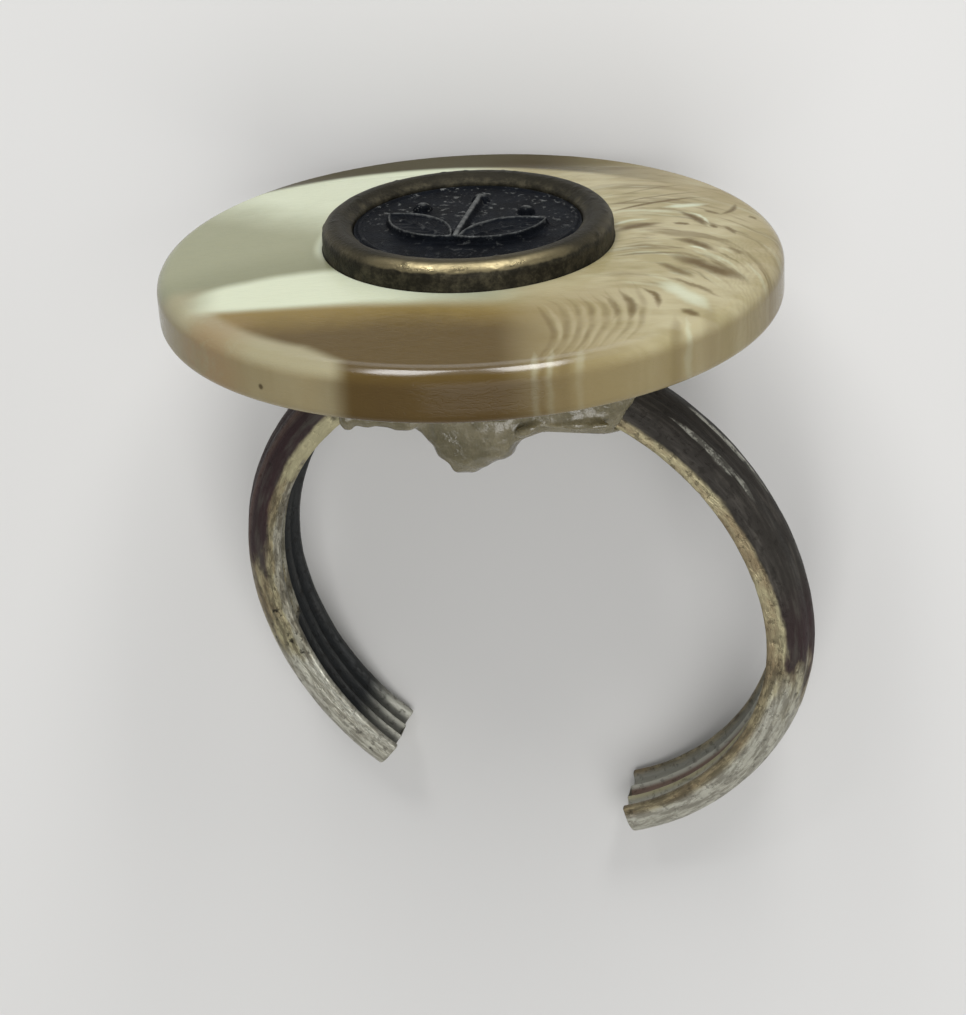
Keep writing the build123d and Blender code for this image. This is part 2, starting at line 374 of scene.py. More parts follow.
class Graph:
    """Adds nodes to one material, shader group or geometry tree."""

    def __init__(self, tree: bpy.types.NodeTree) -> None:
        """Keeps the tree that the nodes go into."""
        self.tree = tree

    def node(self, kind: str, **settings: object) -> bpy.types.Node:
        """Adds a node and sets its options.

        Args:
            kind: the node's type.
            settings: its options by name.

        Returns:
            The node.
        """
        made = self.tree.nodes.new(kind)
        for name, value in settings.items():
            setattr(made, name, value)
        return made

    def feed(self, socket: bpy.types.NodeSocket, value: object) -> None:
        """Links a field to a socket, or sets the socket's own value.

        Args:
            socket: the input.
            value: the field or the value.
        """
        if isinstance(value, Field):
            self.tree.links.new(value.socket, socket)
        else:
            socket.default_value = value

    def run(
        self, kind: str, output: Union[int, str], values: Dict[str, object], **settings: object
    ) -> Field:
        """Adds a node, feeds its inputs and takes one output.

        Args:
            kind: the node's type.
            output: the output's name or number.
            values: the inputs by name.
            settings: the node's options.

        Returns:
            The output as a field.
        """
        made = self.node(kind, **settings)
        for name, value in values.items():
            self.feed(made.inputs[name], value)
        return Field(self, made.outputs[output])

    def _reckon(self, kind: str, operation: str, values: Sequence[object]) -> Field:
        """Adds a node that reckons.

        Args:
            kind: the node's type.
            operation: what it does.
            values: its inputs in order.

        Returns:
            Its first output.
        """
        made = self.node(kind, operation=operation)
        for socket, value in zip(made.inputs, values):
            self.feed(socket, value)
        return Field(self, made.outputs[0])

    def math(self, operation: str, *values: Amount) -> Field:
        """The result of a mathematical operation on fields or numbers."""
        return self._reckon("ShaderNodeMath", operation, values)

    def vector_math(self, operation: str, *values: object) -> Field:
        """The vector result of an operation on vectors."""
        return self._reckon("ShaderNodeVectorMath", operation, values)

    def length(self, vector: Field) -> Field:
        """The length of a vector."""
        return self.run("ShaderNodeVectorMath", "Value", {"Vector": vector}, operation="LENGTH")

    def parts(self, vector: Field) -> Tuple[Field, Field, Field]:
        """The x, y and z of a vector.

        Args:
            vector: the vector.

        Returns:
            The three fields.
        """
        made = self.node("ShaderNodeSeparateXYZ")
        self.feed(made.inputs[0], vector)
        return tuple(Field(self, socket) for socket in made.outputs)

    def joined(self, x: Amount, y: Amount, z: Amount) -> Field:
        """A vector made of three values."""
        return self.run("ShaderNodeCombineXYZ", 0, {"X": x, "Y": y, "Z": z})

    def step(self, value: Amount, low: Amount, high: Amount, start: float = 0.0, end: float = 1.0) -> Field:
        """A smooth step.

        Args:
            value: what decides.
            low: where the step starts.
            high: where it ends, which may be below low.
            start: the result before it.
            end: the result after it.

        Returns:
            The stepped field.
        """
        names = {"Value": value, "From Min": low, "From Max": high, "To Min": start, "To Max": end}
        return self.run("ShaderNodeMapRange", 0, names, interpolation_type="SMOOTHSTEP")

    def noise(self, point: Field, scale: Amount, detail: float = 3.0, seed: Amount = 0.0) -> Field:
        """Cloudy noise around one half.

        Args:
            point: where it is read, in millimetres.
            scale: blotches to the millimetre.
            detail: how many finer layers it has.
            seed: picks another pattern.

        Returns:
            The noise, from 0 to 1.
        """
        values = {"Vector": point, "W": seed, "Scale": scale, "Detail": detail, "Roughness": 0.55}
        return self.run("ShaderNodeTexNoise", 0, values, noise_dimensions="4D")

    def blend(self, share: Amount, under: object, over: object) -> Field:
        """Mixes two colours, the second by its share over the first.

        Args:
            share: the second's share.
            under: the first colour.
            over: the second colour.

        Returns:
            The mixed colour.
        """
        made = self.node("ShaderNodeMix", data_type="RGBA")
        colour_mix = (made.inputs[0], made.inputs[6], made.inputs[7])
        for socket, value in zip(colour_mix, (share, under, over)):
            self.feed(socket, display(value) if isinstance(value, tuple) else value)
        return Field(self, made.outputs[2])

    def trait(self, trait: Trait, output: str = "Fac") -> Field:
        """An attribute of the mesh."""
        settings = {"attribute_type": "GEOMETRY", "attribute_name": trait.value}
        return self.run("ShaderNodeAttribute", output, {}, **settings)

    def placed(self, placement: Placement) -> Field:
        """The surface point in the millimetres of a drawing frame.

        Args:
            placement: the drawing frame.

        Returns:
            The point.
        """
        coordinates = self.run("ShaderNodeTexCoord", "Object", {})
        location, turn, scale = placement.matrix.inverted().decompose()
        values = {"Vector": coordinates, "Location": location, "Rotation": turn.to_euler(), "Scale": scale}
        return self.run("ShaderNodeMapping", 0, values, vector_type="POINT")

    def effect(self, group: bpy.types.NodeTree, **values: object) -> Field:
        """Places a shared shader group.

        Args:
            group: the group.
            values: its inputs by name, with underscores for spaces.

        Returns:
            Its first output.
        """
        made = self.node("ShaderNodeGroup")
        made.node_tree = group
        for name, value in values.items():
            self.feed(made.inputs[name.replace("_", " ")], value)
        return Field(self, made.outputs[0])


def display(tint: Tint) -> Tuple[float, float, float, float]:
    """A colour given as it shows on a screen, 0 to 255, as the linear colour of a node.

    Args:
        tint: red, green and blue.

    Returns:
        The colour.
    """
    shares = [value / 255 for value in tint]
    linear = [s / 12.92 if s <= 0.04045 else ((s + 0.055) / 1.055) ** 2.4 for s in shares]
    return (*linear, 1.0)


def group_inputs(graph: Graph, sockets: Dict[str, Tuple[str, object]]) -> Dict[str, Field]:
    """Declares a group's inputs.

    Args:
        graph: the group's graph.
        sockets: the type and default of each input by name.

    Returns:
        The inputs as fields, by name.
    """
    for name, (kind, default) in sockets.items():
        socket = graph.tree.interface.new_socket(name, in_out="INPUT", socket_type=kind)
        if default is not None:
            socket.default_value = default
    entry = graph.node("NodeGroupInput")
    return {name: Field(graph, entry.outputs[name]) for name in sockets}


def group_output(graph: Graph, name: str, kind: str, value: Field) -> None:
    """Declares a group's output and links the value to it."""
    graph.tree.interface.new_socket(name, in_out="OUTPUT", socket_type=kind)
    graph.feed(graph.node("NodeGroupOutput").inputs[name], value)


FLOAT = "NodeSocketFloat"
VECTOR = "NodeSocketVector"


class Effects:
    """Shader groups that several finishes share, each built once."""

    def __init__(self) -> None:
        """Builds the groups."""
        self.mottle = self._mottle()
        self.scratches = self._scratches()
        self.wear = self._wear()
        self.streak = self._streak()

    @staticmethod
    def _start(name: str, sockets: Dict[str, Tuple[str, object]]) -> Tuple[Graph, Dict[str, Field]]:
        """Opens a new shader group with its inputs."""
        graph = Graph(bpy.data.node_groups.new(name, "ShaderNodeTree"))
        return graph, group_inputs(graph, sockets)

    def _mottle(self) -> bpy.types.NodeTree:
        """Blotches with ragged edges, as tarnish and stains have.

        Returns:
            The group.
        """
        sockets = {
            "Point": (VECTOR, None),
            "Scale": (FLOAT, 1.0),
            "Share": (FLOAT, 0.5),
            "Softness": (FLOAT, 0.1),
            "Seed": (FLOAT, 0.0),
        }
        graph, given = self._start("Mottle", sockets)
        finer, fine_share, contrast = 5.3, 0.28, 2.2
        coarse = graph.noise(given["Point"], given["Scale"], 4.0, given["Seed"])
        fine = graph.noise(given["Point"], given["Scale"] * finer, 3.0, given["Seed"] + 7.0)
        mixed = coarse * (1.0 - fine_share) + fine * fine_share
        level = 1.0 - given["Share"]
        low, high = level - given["Softness"], level + given["Softness"]
        group_output(graph, "Mask", FLOAT, graph.step((mixed - 0.5) * contrast + 0.5, low, high))
        return graph.tree

    def _scratches(self) -> bpy.types.NodeTree:
        """Fine hairlines that run mostly along x, as a height.

        Returns:
            The group.
        """
        sockets = {
            "Point": (VECTOR, None),
            "Scale": (FLOAT, 6.0),
            "Stretch": (FLOAT, 12.0),
            "Seed": (FLOAT, 0.0),
        }
        graph, given = self._start("Hairline scratches", sockets)
        x, y, z = graph.parts(given["Point"])
        hair = 0.03
        lines = []
        for turn, seed in ((0.12, 0.0), (-0.35, 11.0)):
            across = graph.joined((x + y * turn) / given["Stretch"], y - x * turn, z)
            cloud = graph.noise(across, given["Scale"], 2.0, given["Seed"] + seed)
            lines.append(graph.step(abs(cloud - 0.5), hair, 0.0))
        group_output(graph, "Height", FLOAT, 1.0 - graph.math("MAXIMUM", *lines))
        return graph.tree

    def _wear(self) -> bpy.types.NodeTree:
        """Where metal that stands proud has been rubbed bare, broken up by noise.

        Returns:
            The group.
        """
        sockets = {
            "Point": (VECTOR, None),
            "Height": (FLOAT, 0.0),
            "Level": (FLOAT, 0.6),
            "Softness": (FLOAT, 0.2),
            "Roughness": (FLOAT, 0.5),
            "Scale": (FLOAT, 2.0),
        }
        graph, given = self._start("Rubbed bare", sockets)
        cloud = graph.noise(given["Point"], given["Scale"], 5.0, 3.0)
        uneven = given["Height"] + (cloud - 0.5) * given["Roughness"] * 2.0
        low = given["Level"] - given["Softness"]
        group_output(graph, "Mask", FLOAT, graph.step(uneven, low, given["Level"] + given["Softness"]))
        return graph.tree

    def _streak(self) -> bpy.types.NodeTree:
        """A soft tapering stroke between two points, bowed to one side.

        Returns:
            The group.
        """
        sockets = {
            "Point": (VECTOR, None),
            "Start": (VECTOR, None),
            "End": (VECTOR, None),
            "Bow": (FLOAT, 0.0),
            "Width": (FLOAT, 0.2),
        }
        graph, given = self._start("Streak in the plastic", sockets)
        way = graph.vector_math("SUBTRACT", given["End"], given["Start"])
        seen = graph.vector_math("SUBTRACT", given["Point"], given["Start"])
        way_x, way_y, _ = graph.parts(way)
        seen_x, seen_y, _ = graph.parts(seen)
        square = way_x * way_x + way_y * way_y
        length = graph.math("SQRT", square)
        share = (seen_x * way_x + seen_y * way_y) / square
        side = (seen_y * way_x - seen_x * way_y) / length
        bowed = side - given["Bow"] * 4.0 * share * (1.0 - share)
        taper = graph.step(share, -0.1, 0.35) * graph.step(share, 1.1, 0.65)
        reach = given["Width"] * (taper * 0.8 + 0.2)
        group_output(graph, "Mask", FLOAT, graph.step(abs(bowed) / reach, 1.25, 0.1) * taper)
        return graph.tree


# Geometry trees


class SweepTree:
    """A geometry tree that sweeps a section along a line and gives it an uneven, pitted skin."""

    MERGE_REACH = 0.0005
    SMALLEST_PIT = 0.14
    PIT_SPREAD = 0.3
    PIT_FLOOR = 0.35
    NUMBERS = {
        "Unevenness": 0.0,
        "Unevenness scale": 1.0,
        "Pit depth": 0.0,
        "Pit spacing": 1.0,
        "Pit share": 0.3,
        "End rounding": 0.0,
        "Seed": 0.0,
    }

    def __init__(self) -> None:
        """Builds the tree."""
        self.tree = bpy.data.node_groups.new("Section along a line", "GeometryNodeTree")
        graph = Graph(self.tree)
        sockets: Dict[str, Tuple[str, object]] = {
            "Path": ("NodeSocketGeometry", None),
            "Section": ("NodeSocketObject", None),
            "Finish": ("NodeSocketMaterial", None),
        }
        sockets.update({name: (FLOAT, default) for name, default in self.NUMBERS.items()})
        given = group_inputs(graph, sockets)
        place = graph.run("GeometryNodeInputPosition", 0, {})
        pit = self._pits(graph, given, place)
        skin = self._store(graph, self._swept(graph, given, place), Trait.PIT, pit)
        cloud = graph.noise(place, given["Unevenness scale"], 2.0, given["Seed"])
        uneven = (cloud - 0.5) * given["Unevenness"] * 2.0
        lift = uneven - pit * given["Pit depth"] - self._end_rounding(graph, given)
        offset = graph.node("ShaderNodeVectorMath", operation="SCALE")
        graph.feed(offset.inputs[0], graph.run("GeometryNodeInputNormal", 0, {}))
        graph.feed(offset.inputs["Scale"], lift)
        moved = {"Geometry": skin, "Offset": Field(graph, offset.outputs[0])}
        skin = graph.run("GeometryNodeSetPosition", 0, moved)
        skin = graph.run("GeometryNodeMergeByDistance", 0, {"Geometry": skin, "Distance": self.MERGE_REACH})
        skin = graph.run("GeometryNodeRealizeInstances", 0, {"Geometry": skin})
        skin = graph.run("GeometryNodeSetMaterial", 0, {"Geometry": skin, "Material": given["Finish"]})
        group_output(graph, "Mesh", "NodeSocketGeometry", skin)

    def _swept(self, graph: Graph, given: Dict[str, Field], place: Field) -> Field:
        """Sweeps the section along the path and keeps the places along both on the skin.

        Args:
            graph: the tree's graph.
            given: the tree's inputs.
            place: the place of each point.

        Returns:
            The skin.
        """
        length = graph.run("GeometryNodeSplineParameter", "Length", {})
        whole = graph.run("GeometryNodeSplineLength", "Length", {})
        path = self._store(graph, given["Path"], Trait.ALONG, length)
        path = self._store(graph, path, Trait.TO_END, graph.math("MINIMUM", length, whole - length))
        outline = graph.run("GeometryNodeObjectInfo", "Geometry", {"Object": given["Section"]})
        outline = self._store(graph, outline, Trait.SECTION, place, "FLOAT_VECTOR")
        return graph.run("GeometryNodeCurveToMesh", 0, {"Curve": path, "Profile Curve": outline})

    def _pits(self, graph: Graph, given: Dict[str, Field], place: Field) -> Field:
        """Scattered pits of unequal size, 1 at their floor.

        Args:
            graph: the tree's graph.
            given: the tree's inputs.
            place: the place of each point.

        Returns:
            How deep each point lies in a pit.
        """
        cells = graph.node("ShaderNodeTexVoronoi", feature="F1")
        graph.feed(cells.inputs["Vector"], place)
        graph.feed(cells.inputs["Scale"], 1.0 / given["Pit spacing"])
        chance, size, _ = graph.parts(Field(graph, cells.outputs["Color"]))
        reach = size * self.PIT_SPREAD + self.SMALLEST_PIT
        here = graph.step(Field(graph, cells.outputs["Distance"]) / reach, 1.0, self.PIT_FLOOR)
        return here * graph.math("LESS_THAN", chance, given["Pit share"])

    @staticmethod
    def _end_rounding(graph: Graph, given: Dict[str, Field]) -> Field:
        """How far the skin sinks at the path's ends, so that they are round.

        Args:
            graph: the tree's graph.
            given: the tree's inputs.

        Returns:
            The depth.
        """
        name = {"Name": Trait.TO_END.value}
        to_end = graph.run("GeometryNodeInputNamedAttribute", 0, name, data_type="FLOAT")
        radius = graph.math("MAXIMUM", given["End rounding"], 1e-6)
        near = 1.0 - graph.math("MINIMUM", to_end / radius, 1.0)
        return radius * (1.0 - graph.math("SQRT", 1.0 - near * near))

    @staticmethod
    def _store(graph: Graph, geometry: Field, trait: Trait, value: Field, kind: str = "FLOAT") -> Field:
        """Stores a value on the points of a geometry.

        Args:
            graph: the tree's graph.
            geometry: the geometry.
            trait: the attribute.
            value: its value.
            kind: its type.

        Returns:
            The geometry.
        """
        made = graph.node("GeometryNodeStoreNamedAttribute", data_type=kind, domain="POINT")
        graph.feed(made.inputs["Geometry"], geometry)
        graph.feed(made.inputs["Name"], trait.value)
        graph.feed(made.inputs["Value"], value)
        return Field(graph, made.outputs[0])

    def sweep(
        self,
        name: str,
        path: bpy.types.Object,
        section: bpy.types.Object,
        finish: bpy.types.Material,
        placement: Placement,
        sizes: Dict[str, float],
    ) -> bpy.types.Object:
        """Sweeps a section along a path and turns the result into a plain piece.

        Args:
            name: the piece's name.
            path: the flat line that the section follows; it is used up.
            section: the outline, x away from the line's inside and y against z; it is used up.
            finish: the piece's material.
            placement: the frame that both are drawn in.
            sizes: the tree's numbers that differ from its own.

        Returns:
            The piece.
        """
        modifier = path.modifiers.new("sweep", "NODES")
        modifier.node_group = self.tree
        keys = {item.name: item.identifier for item in self.tree.interface.items_tree}
        for label, value in {"Section": section, "Finish": finish, **self.NUMBERS, **sizes}.items():
            modifier[keys[label]] = value
        depsgraph = bpy.context.evaluated_depsgraph_get()
        mesh = bpy.data.meshes.new_from_object(
            path.evaluated_get(depsgraph), preserve_all_data_layers=True, depsgraph=depsgraph
        )
        path.modifiers.remove(modifier)
        for used in (path, section):
            bpy.data.objects.remove(used)
        return solid_object(name, mesh, placement)


# Finishes


@dataclass(frozen=True)
class Finish:
    """A surface finish, painted in the millimetres of a drawing frame.

    Attributes:
        label: the material's name.
        placement: the drawing frame.
        effects: the shared shader groups.
    """

    label: str
    placement: Placement
    effects: Effects

    def make(self) -> bpy.types.Material:
        """Builds the material.

        Returns:
            The finished material.
        """
        material = bpy.data.materials.new(self.label)
        material.use_nodes = True
        material.node_tree.nodes.clear()
        graph = Graph(material.node_tree)
        shader = graph.node("ShaderNodeBsdfPrincipled")
        output = graph.node("ShaderNodeOutputMaterial")
        graph.tree.links.new(shader.outputs[0], output.inputs["Surface"])
        self.paint(graph, graph.placed(self.placement), shader)
        return material

    def paint(self, graph: Graph, point: Field, shader: bpy.types.Node) -> None:
        """Feeds the shader's sockets; each finish has its own way."""
        raise NotImplementedError

    def blotches(
        self, graph: Graph, point: Field, scale: float, share: float, softness: float, seed: float
    ) -> Field:
        """Ragged blotches, as tarnish and stains have.

        Args:
            graph: the material's graph.
            point: where they are read, in millimetres.
            scale: blotches to the millimetre.
            share: how much of the surface they cover.
            softness: how soft their edges are.
            seed: picks another pattern.

        Returns:
            The mask.
        """
        look = {"Scale": scale, "Share": share, "Softness": softness, "Seed": seed}
        return graph.effect(self.effects.mottle, Point=point, **look)

    def rubbed(
        self,
        graph: Graph,
        point: Field,
        height: Field,
        level: float,
        softness: float,
        uneven: float,
        scale: float,
    ) -> Field:
        """Where metal that stands proud has been rubbed bare.

        Args:
            graph: the material's graph.
            point: where it is read, in millimetres.
            height: how proud the surface stands.
            level: the height from which it is bare.
            softness: how soft the edge is.
            uneven: how far noise moves the edge.
            scale: the noise's blotches to the millimetre.

        Returns:
            The mask.
        """
        look = {"Level": level, "Softness": softness, "Roughness": uneven, "Scale": scale}
        return graph.effect(self.effects.wear, Point=point, Height=height, **look)

    def hairlines(self, graph: Graph, point: Field, scale: float, stretch: float, seed: float = 0.0) -> Field:
        """Fine scratches, as a height."""
        return graph.effect(self.effects.scratches, Point=point, Scale=scale, Stretch=stretch, Seed=seed)

    @staticmethod
    def bump(graph: Graph, shader: bpy.types.Node, height: Field, depth: float) -> None:
        """Feeds the shader's normal from a height.

        Args:
            graph: the material's graph.
            shader: the shader.
            height: heights from 0 to 1.
            depth: what a height of 1 stands for, in millimetres.
        """
        values = {"Height": height, "Distance": depth * MILLIMETRE, "Strength": 1.0}
        graph.feed(shader.inputs["Normal"], graph.run("ShaderNodeBump", 0, values))


@dataclass(frozen=True)
class Streak:
    """One stroke of the plastic's grain, in millimetres from the button's middle.

    Attributes:
        start: where it starts.
        end: where it ends.
        bow: how far it bows to its left.
        width: half its width.
        strength: how strongly its tint covers.
        pale: whether it is pale, not brown.
    """

    start: Point2
    end: Point2
    bow: float
    width: float
    strength: float
    pale: bool = False


@dataclass(frozen=True)
class SwirledPlastic(Finish):
    """Button plastic whose layers are combed into a white wedge, a tan lens and a feathered grain."""

    cool_cream: Tint = (141, 142, 115)
    dull_grey: Tint = (128, 129, 103)
    white: Tint = (197, 202, 177)
    pale_foot: Tint = (152, 145, 116)
    cream: Tint = (174, 165, 132)
    warm_cream: Tint = (152, 142, 105)
    tan: Tint = (134, 119, 82)
    taupe: Tint = (60, 52, 34)
    ochre: Tint = (127, 108, 60)
    brown: Tint = (86, 70, 38)
    stroke: Tint = (92, 75, 40)
    side_dark: Tint = (78, 62, 38)
    side_light: Tint = (130, 115, 82)
    blush: Tint = (142, 120, 88)
    speck: Tint = (64, 52, 36)
    speck_place: Point3 = (-8.02, -9.85, -1.28)
    speck_reach: float = 0.16
    blush_place: Point3 = (-10.2, -7.6, -1.2)
    blush_reach: float = 3.0
    seam: Span = (-0.5, 3.0)
    wedge_peak: Point2 = (-6.2, -2.65)
    wedge_bow: float = 0.048
    foot_start: Point2 = (-9.81, -5.58)
    foot_slope: float = 0.125
    lens_tip: Point2 = (-9.95, -5.87)
    lens_way: Point2 = (0.694, -0.72)
    lens_length: float = 5.2
    lens_bulge: float = 0.053
    lens_foot: float = -11.0
    grain_start: Point2 = (5.7, -1.0)
    comb_count: int = 8
    comb_spacing: float = 0.54
    comb_start: Point2 = (2.15, -7.1)
    comb_end: Point2 = (2.0, -12.2)
    comb_spread: Span = (1.06, 0.92)
    comb_climb: Span = (0.26, 0.2)
    comb_bow: float = 0.85
    comb_straightening: float = 0.04
    comb_beat: int = 3
    comb_stress: float = 1.35
    edge_line_spacing: float = 0.21
    inset_radius: float = 5.9
    strip_middle: Point2 = (-2.0, 9.75)
    strip_bow: float = 0.03
    lit_edge: Span = (11.9, 12.05)
    side_start: float = -0.15
    streaks: Tuple[Streak, ...] = (
        Streak((5.7, 2.2), (10.3, 4.5), 0.35, 0.14, 0.95),
        Streak((5.9, 3.2), (10.4, 5.3), 0.3, 0.09, 0.55),
        Streak((6.4, 4.6), (9.6, 6.3), 0.25, 0.1, 0.4),
        Streak((8.2, 3.05), (10.1, 3.5), 0.0, 0.3, 0.8, True),
        Streak((5.9, -0.15), (8.1, 1.05), 0.2, 0.3, 0.95),
        Streak((5.8, 0.6), (7.6, 1.5), 0.2, 0.16, 0.6, True),
        Streak((8.7, 2.6), (9.8, 0.5), 0.12, 0.24, 1.0),
        Streak((9.15, 2.5), (9.95, 0.9), 0.1, 0.1, 0.7, True),
        Streak((8.4, 1.1), (9.1, 0.75), 0.0, 0.2, 0.9),
        Streak((9.8, 2.75), (10.45, 2.1), -0.1, 0.16, 0.9),
        Streak((10.35, 2.0), (11.2, 3.55), -0.15, 0.16, 0.9),
        Streak((9.95, 0.9), (10.15, 0.35), 0.0, 0.16, 0.9),
        Streak((10.4, 0.8), (10.8, -0.35), 0.1, 0.14, 0.8),
        Streak((11.6, 2.1), (11.8, 1.5), 0.0, 0.12, 0.8),
        Streak((8.1, -0.85), (9.9, -2.3), 0.25, 0.34, 0.95),
        Streak((8.7, -1.7), (9.5, -2.2), 0.1, 0.14, 0.7, True),
        Streak((5.7, -2.75), (8.4, -2.45), 0.1, 0.15, 0.7),
        Streak((7.8, -2.5), (10.7, -5.4), 0.06, 0.6, 1.0),
        Streak((7.2, -3.5), (8.7, -5.1), 0.06, 0.36, 0.8),
        Streak((7.5, -4.9), (9.5, -6.9), 0.15, 0.18, 0.7),
        Streak((7.1, -5.3), (8.9, -8.1), 0.2, 0.5, 0.75, True),
        Streak((7.8, -7.9), (8.5, -8.7), 0.0, 0.28, 0.9),
        Streak((10.2, -1.7), (10.9, -2.6), 0.0, 0.18, 0.7),
        Streak((6.45, -5.9), (7.0, -7.8), 0.25, 0.2, 0.9),
        Streak((5.6, -6.3), (5.85, -8.8), 0.3, 0.24, 0.8),
        Streak((4.9, -6.6), (5.2, -8.9), 0.3, 0.16, 0.5),
        Streak((2.2, -11.2), (2.08, -13.4), 0.0, 0.16, 0.2, True),
        Streak((2.85, -11.0), (2.55, -13.4), 0.0, 0.16, 0.22, True),
        Streak((3.9, -11.0), (3.65, -13.2), 0.0, 0.18, 0.18, True),
        Streak((2.45, -11.3), (2.35, -13.4), 0.0, 0.1, 0.3),
        Streak((3.3, -11.3), (3.15, -13.3), 0.0, 0.32, 0.4),
        Streak((7.55, -8.6), (7.35, -12.2), 0.0, 0.3, 0.4),
        Streak((7.98, -8.7), (7.85, -12.0), 0.0, 0.16, 0.45, True),
        Streak((9.0, -7.6), (8.6, -11.2), 0.0, 0.35, 0.25),
    )

    def paint(self, graph: Graph, point: Field, shader: bpy.types.Node) -> None:
        """Paints the plastic.

        Args:
            graph: the material's graph.
            point: the surface point, from the button's middle.
            shader: the shader to feed.
        """
        x, y, z = graph.parts(point)
        drift_x = (graph.noise(point, 0.35, 2.0, 1.0) - 0.5) * 0.8
        drift_y = (graph.noise(point, 0.35, 2.0, 2.0) - 0.5) * 0.8
        ripple = (graph.noise(point, 1.6, 3.0, 3.0) - 0.5) * 0.3
        warped = graph.joined(x + drift_x * 0.4 + ripple, y + drift_y * 0.4 + ripple, z)

        right = graph.step(x + drift_x, *self.seam)
        left_tint = self._left_side(graph, x + drift_x * 0.5, y + drift_y * 0.5, point)
        right_tint = self._right_side(graph, x + ripple * 0.6, y + drift_y * 0.5 + ripple * 0.5, point)
        tint = graph.blend(right, left_tint, right_tint)
        tint = self._lens(graph, tint, x + ripple * 0.3, y + drift_y * 0.15, point)
        tint = self._comb(graph, tint, x, y)
        for streak in self.streaks:
            mask = self._drawn(graph, warped, streak)
            tint = graph.blend(mask * streak.strength, tint, self.white if streak.pale else self.stroke)
        tint = self._rear_strip(graph, tint, x, y + drift_y * 0.2)
        tint = self._side(graph, tint, point)
        tint = self._marks(graph, tint, point)
        graph.feed(shader.inputs["Base Color"], tint)

        smudge = graph.noise(point, 0.8, 4.0, 21.0)
        hairlines = self.hairlines(graph, point, 3.0, 9.0)
        graph.feed(shader.inputs["Roughness"], smudge * 0.12 + 0.1 + graph.step(y, 8.5, 10.5) * 0.55)
        rounding = graph.step(graph.length(graph.joined(x, y, 0.0)), *self.lit_edge)
        polished = rounding * graph.step(z, -0.17, -0.09) * graph.step(y, -9.6, -12.1)
        graph.feed(shader.inputs["Coat Weight"], polished)
        shader.inputs["Coat Roughness"].default_value = 0.16
        shader.inputs["Coat IOR"].default_value = 1.6
        shader.inputs["Specular IOR Level"].default_value = 0.08
        shader.inputs["Subsurface Weight"].default_value = 0.15
        shader.inputs["Subsurface Radius"].default_value = (1.0, 0.85, 0.6)
        shader.inputs["Subsurface Scale"].default_value = 0.4 * MILLIMETRE
        self.bump(graph, shader, hairlines * 0.25 + smudge * 0.75, 0.012)

    def _drawn(self, graph: Graph, point: Field, streak: Streak) -> Field:
        """The mask of one stroke of the grain."""
        places = {"Start": (*streak.start, 0.0), "End": (*streak.end, 0.0)}
        return graph.effect(self.effects.streak, Point=point, Bow=streak.bow, Width=streak.width, **places)

    def _foot_line(self, x: Field) -> Field:
        """The line where the white wedge ends and the tan lens starts."""
        return self.foot_start[1] - (x - self.foot_start[0]) * self.foot_slope

    def _left_side(self, graph: Graph, x: Field, y: Field, point: Field) -> Field:
        """The cool cream side with its white wedge and the white cloud behind the inset.

        Args:
            graph: the material's graph.
            x: across the button.
            y: back over the button.
            point: the surface point.

        Returns:
            The side's tint.
        """
        from_peak = x - self.wedge_peak[0]
        wedge_top = self.wedge_peak[1] - from_peak * from_peak * self.wedge_bow
        wedge_foot = self._foot_line(x)
        cloud = graph.noise(point, 0.45, 3.0, 5.0)
        dull = graph.step(y - wedge_top, 3.6, 0.1) * (cloud * 0.5 + 0.75)
        tint = graph.blend(dull, self.cool_cream, self.dull_grey)
        behind = graph.step(y + x * 0.85 + (cloud - 0.5) * 1.5, -5.0, 0.8)
        tint = graph.blend(behind * (cloud * 0.2 + 0.85), tint, self.white)
        tint = graph.blend(graph.step(y - wedge_foot, 0.9, -0.3), tint, self.pale_foot)
        tip = graph.step(x, -9.6, -11.4) * graph.step(y, -2.6, -4.2)
        tint = graph.blend(tip * 0.8, tint, self.pale_foot)
        wedge = graph.step(wedge_top - y, -0.4, 0.45) * graph.step(y - wedge_foot, -0.6, 0.35)
        wedge = wedge * graph.step(x, -11.6, -9.6) * graph.step(x, 0.5, -3.5, 0.4, 1.0)
        return graph.blend(wedge, tint, self.white)

    def _right_side(self, graph: Graph, x: Field, y: Field, point: Field) -> Field:
        """The warmer cream side with its combed grain, which arches to the right and turns down.

        Args:
            graph: the material's graph.
            x: across the button.
            y: back over the button.
            point: the surface point.

        Returns:
            The side's tint.
        """
        blotch = graph.noise(graph.joined(x * 0.6, y * 1.4, 0.0), 0.55, 3.0, 8.0)
        tint = graph.blend(graph.step(blotch, 0.35, 0.65), self.cream, self.warm_cream)
        reach = x - self.grain_start[0] + graph.math("MAXIMUM", self.grain_start[1] - y, 0.0) * 0.4
        flow = y - reach * 0.5 + reach * reach * 0.15
        here = graph.step(x, 3.5, 7.5) * graph.step(y, -7.0, -4.5)
        for scale, low, high, share, over in (
            (0.75, 0.5, 0.66, 0.55, self.stroke),
            (1.7, 0.54, 0.7, 0.5, self.stroke),
            (1.3, 0.52, 0.72, 0.42, self.white),
        ):
            hair = graph.noise(graph.joined(reach * 0.3, flow * 1.5, 0.0), scale, 3.0, 30.0 + scale)
            tint = graph.blend(graph.step(hair, low, high) * here * share, tint, over)
        sway = graph.noise(point, 0.6, 3.0, 10.0) * 1.2
        lines = graph.math("SINE", (x + y * y * 0.004 + sway) * (2 * math.pi / self.edge_line_spacing))
        rim_side = graph.step(x, 9.0, 10.8) * graph.step(y, 0.5, -3.0) * (blotch * 0.6 + 0.1)
        tint = graph.blend(graph.step(lines, -0.6, 1.0) * rim_side * 0.28, tint, self.stroke)
        back = graph.step(x + y * 0.75, 10.5, 14.0) * graph.step(y, -1.0, 4.0)
